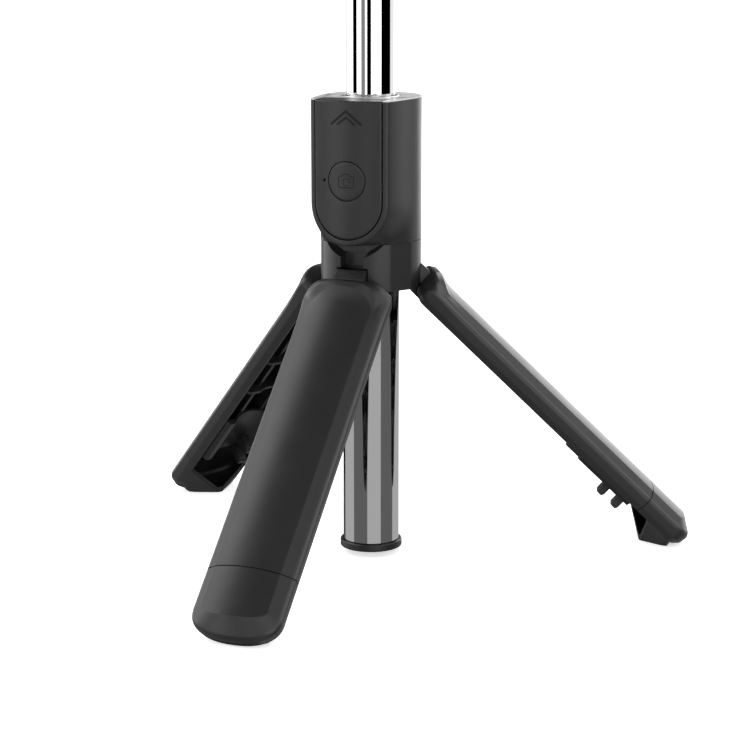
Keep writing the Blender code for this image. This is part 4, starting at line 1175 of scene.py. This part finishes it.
def studio_world():
    """White all round the camera's view. Shiny surfaces see a studio of white and black screens instead."""
    world = bpy.data.worlds.new("studio")
    bpy.context.scene.world = world
    world.use_nodes = True
    world.cycles.sampling_method = "NONE"
    tree = world.node_tree
    tree.nodes.clear()

    def add(kind, **settings):
        node = tree.nodes.new(kind)
        for name, value in settings.items():
            setattr(node, name, value)
        return node

    def feed(sockets, values):
        """Set each socket to its number, or link it to its output."""
        for socket, value in zip(sockets, values):
            if isinstance(value, (int, float)):
                socket.default_value = value
            else:
                tree.links.new(value, socket)

    def maths(operation, *values):
        node = add("ShaderNodeMath", operation=operation)
        feed(node.inputs, values)
        return node.outputs["Value"]

    def blend(*values):
        """Between two values, by a factor that comes first."""
        node = add("ShaderNodeMix", data_type="FLOAT")
        feed([node.inputs[name] for name in ("Factor", "A", "B")], values)
        return node.outputs["Result"]

    def smooth(value, start, end):
        node = add("ShaderNodeMapRange", interpolation_type="SMOOTHSTEP")
        node.inputs["From Min"].default_value = start
        node.inputs["From Max"].default_value = end
        tree.links.new(value, node.inputs["Value"])
        return node.outputs["Result"]

    def screens(share, bands):
        """Brightness against the share of a full turn. bands holds (start azimuth, brightness)."""
        ramp = add("ShaderNodeValToRGB").color_ramp
        ramp.interpolation = "CONSTANT"
        while len(ramp.elements) < len(bands):
            ramp.elements.new(0.5)
        for element, (azimuth, brightness) in zip(ramp.elements, bands):
            element.position = (azimuth + 180) / 360
            element.color = (brightness, brightness, brightness, 1)
        node = tree.nodes[-1]
        tree.links.new(share, node.inputs["Fac"])
        return node.outputs["Color"]

    split = add("ShaderNodeSeparateXYZ")
    tree.links.new(add("ShaderNodeTexCoord").outputs["Generated"], split.inputs[0])
    x, y, z = split.outputs
    azimuth = maths("ARCTAN2", x, maths("MULTIPLY", y, -1))
    share = maths("MULTIPLY_ADD", azimuth, 1 / (2 * math.pi), 0.5)
    elevation = maths("MULTIPLY", maths("ARCSINE", z), 180 / math.pi)

    level, lower, raised = [screens(share, bands) for bands in (LEVEL_SCREENS, LOWER_SCREENS, RAISED_SCREENS)]
    shiny = blend(smooth(elevation, *LOWER_BLEND), level, lower)
    shiny = blend(smooth(elevation, *RAISED_BLEND), shiny, raised)
    shiny = blend(smooth(elevation, *CEILING_BLEND), shiny, CEILING)
    rays = add("ShaderNodeLightPath")
    glow = blend(rays.outputs["Is Glossy Ray"], AMBIENT, shiny)
    glow = blend(rays.outputs["Is Camera Ray"], glow, BACKDROP)
    background = add("ShaderNodeBackground")
    tree.links.new(glow, background.inputs["Strength"])
    output = add("ShaderNodeOutputWorld")
    tree.links.new(background.outputs["Background"], output.inputs["Surface"])


def area_light(name, azimuth, elevation, distance, size, radiance, aim):
    """A square softbox that faces the aim point. radiance is how bright its face looks."""
    light = bpy.data.lights.new(name, "AREA")
    light.size = size
    light.energy = radiance * math.pi * size ** 2
    thing = bpy.data.objects.new(name, light)
    a, e = math.radians(azimuth), math.radians(elevation)
    back = Vector((math.sin(a) * math.cos(e), -math.cos(a) * math.cos(e), math.sin(e)))
    thing.location = aim + back * distance
    thing.rotation_euler = (-back).to_track_quat("-Z", "Y").to_euler()
    bpy.context.scene.collection.objects.link(thing)
    return thing


def floor():
    """A wide pale floor that shiny surfaces see past, to the studio's screens."""
    half = 12.0 / MM
    sheet = Skin()
    sheet.face((-half, -half, 0), (half, -half, 0), (half, half, 0), (-half, half, 0))
    thing = sheet.build("floor")
    look = Look("floor_paint", (0.93, 0.93, 0.93), 0.9)
    patches = look.spread(look.noise(900, 2), 0, 1)
    look.link(look.tint(patches, 0.995, 1.005), look.shader.inputs["Base Color"])
    look.set("Specular IOR Level", 0.0)
    look.set("Emission Color", (1, 1, 1, 1))
    look.set("Emission Strength", 0.62)
    thing.data.materials.append(look.material)
    thing.visible_glossy = False
    thing.location.z = min(0.0, cad_box[0].z)


def camera():
    """The photograph's view: a long lens a little above the base, round to the right of the front."""
    lens = bpy.data.cameras.new("camera")
    lens.sensor_width = 36
    lens.lens = 104.3
    lens.clip_start, lens.clip_end = 0.05, 50
    thing = bpy.data.objects.new("camera", lens)
    thing.location = (0.2613, -0.6221, 0.2019)
    thing.rotation_euler = (math.radians(90 - 12.22), 0, 0.3976 - 0.0018)
    bpy.context.scene.collection.objects.link(thing)
    bpy.context.scene.camera = thing


# ---------------------------------------------------------------- the whole stick

def main():
    body = moulded("handle_moulding", (0.0112, 0.0112, 0.0115), 0.36)
    leg = moulded("leg_moulding", (0.0112, 0.0112, 0.0115), 0.36)
    dark = moulded("dark_moulding", (0.006, 0.006, 0.0063), 0.42)
    button = moulded("button_moulding", (0.0108, 0.0108, 0.0111), 0.38)
    # Painted shade: the chevrons and camera icon are coloured darker than the shell to stand for the shade
    # inside engraved lines.
    engraving_shade = moulded("engraving_shade_moulding", (0.004, 0.004, 0.0042), 0.6, sheen=0.3)
    painted_light_top = painted_light_satin("top_painted_light")
    tubes = chrome("pole_plating")
    bright = steel("fastener_metal", (0.5, 0.5, 0.51), 0.3)
    cell = steel("cell_metal", (0.62, 0.62, 0.62), 0.24)
    soft = rubber("clamp_grip")

    dress(housing(), body, "base", "handle_plastic", "body_housing")
    # The top plate's light grey is painted light: the top face is coloured lighter for the light that falls
    # on it from above.
    dress(top_plate(), painted_light_top, "base", "top_plate_satin", "top_plate")
    dress(hub(), body, "base", "handle_plastic", "leg_hub")
    dress(base_cap(), dark, "base", "dark_plastic", "base_cap")
    dress(ring("tube_bush_skin", "tube_bush", high("pole_tube_2", X) + 0.15, OUTER_RADIUS - TUBE_WALL - 0.15),
          dark, "base", "dark_plastic", "tube_bush")
    dress(tube("outer_tube_skin", "outer_tube", OUTER_RADIUS), tubes, "base", "pole_chrome", "outer_tube")
    for number in range(2, 7):
        node = f"pole_tube_{number}"
        dress(tube(node + "_skin", node, high(node, X)), tubes, f"pole_{number}", "pole_chrome", node)
        keep(f"pole_glide_{number}", dark)
    for name in ("back", "left", "right"):
        keep(f"hub_screw_{name}", bright, 0.06)
    for name in AZIMUTHS:
        keep(f"leg_pin_{name}", bright, 0.1)

    dress(remote_front_shell(), body, "remote", "handle_plastic", "remote_front_shell")
    dress(remote_back(), body, "remote", "handle_plastic", "remote_back_cover")
    for line in chevrons():
        dress(line, engraving_shade, "remote", "handle_plastic")
    keep("remote_circuit_board", laminate("board"), 0.05)
    keep("remote_dome_switch", cell, 0.2)
    keep("remote_status_light", lens("light"), 0.15)
    keep("remote_coin_cell", cell, 0.3)
    keep("remote_battery_contact", cell, 0.05)
    dress(shutter_button(), button, "shutter", "button_plastic", "shutter_button")
    for line in camera_icon():
        dress(line, engraving_shade, "shutter", "button_plastic")

    legs(leg, dark)

    dress(pole_top_cap(), dark, "pole_6", "dark_plastic", "pole_top_cap")
    dress(swivel_yoke(), body, "swivel", "handle_plastic", "swivel_yoke")
    keep("tilt_bolt", bright)
    dress(tilt_nut(), dark, "swivel", "dark_plastic", "tilt_nut")
    dress(clamp_lower(), body, "clamp", "handle_plastic", "clamp_lower_body")
    keep("clamp_back_cover", dark, 0.25)
    keep("clamp_screw_lower", bright, 0.06)
    keep("clamp_screw_upper", bright, 0.06)
    keep("clamp_pad_lower", soft, 0.1)
    springs(bright)
    dress(clamp_upper(), body, "jaw", "handle_plastic", "clamp_upper_jaw")
    keep("clamp_pad_upper", soft, 0.1)
    keep("clamp_rod_left", bright, 0.1)
    keep("clamp_rod_right", bright, 0.1)

    studio_world()
    floor()
    middle = Vector((0, 0, 0.1))
    area_light("softbox_left", -98, 37, 1.3, 0.8, 1.15, middle)
    camera()
    bpy.context.scene.view_settings.view_transform = "Standard"


main()
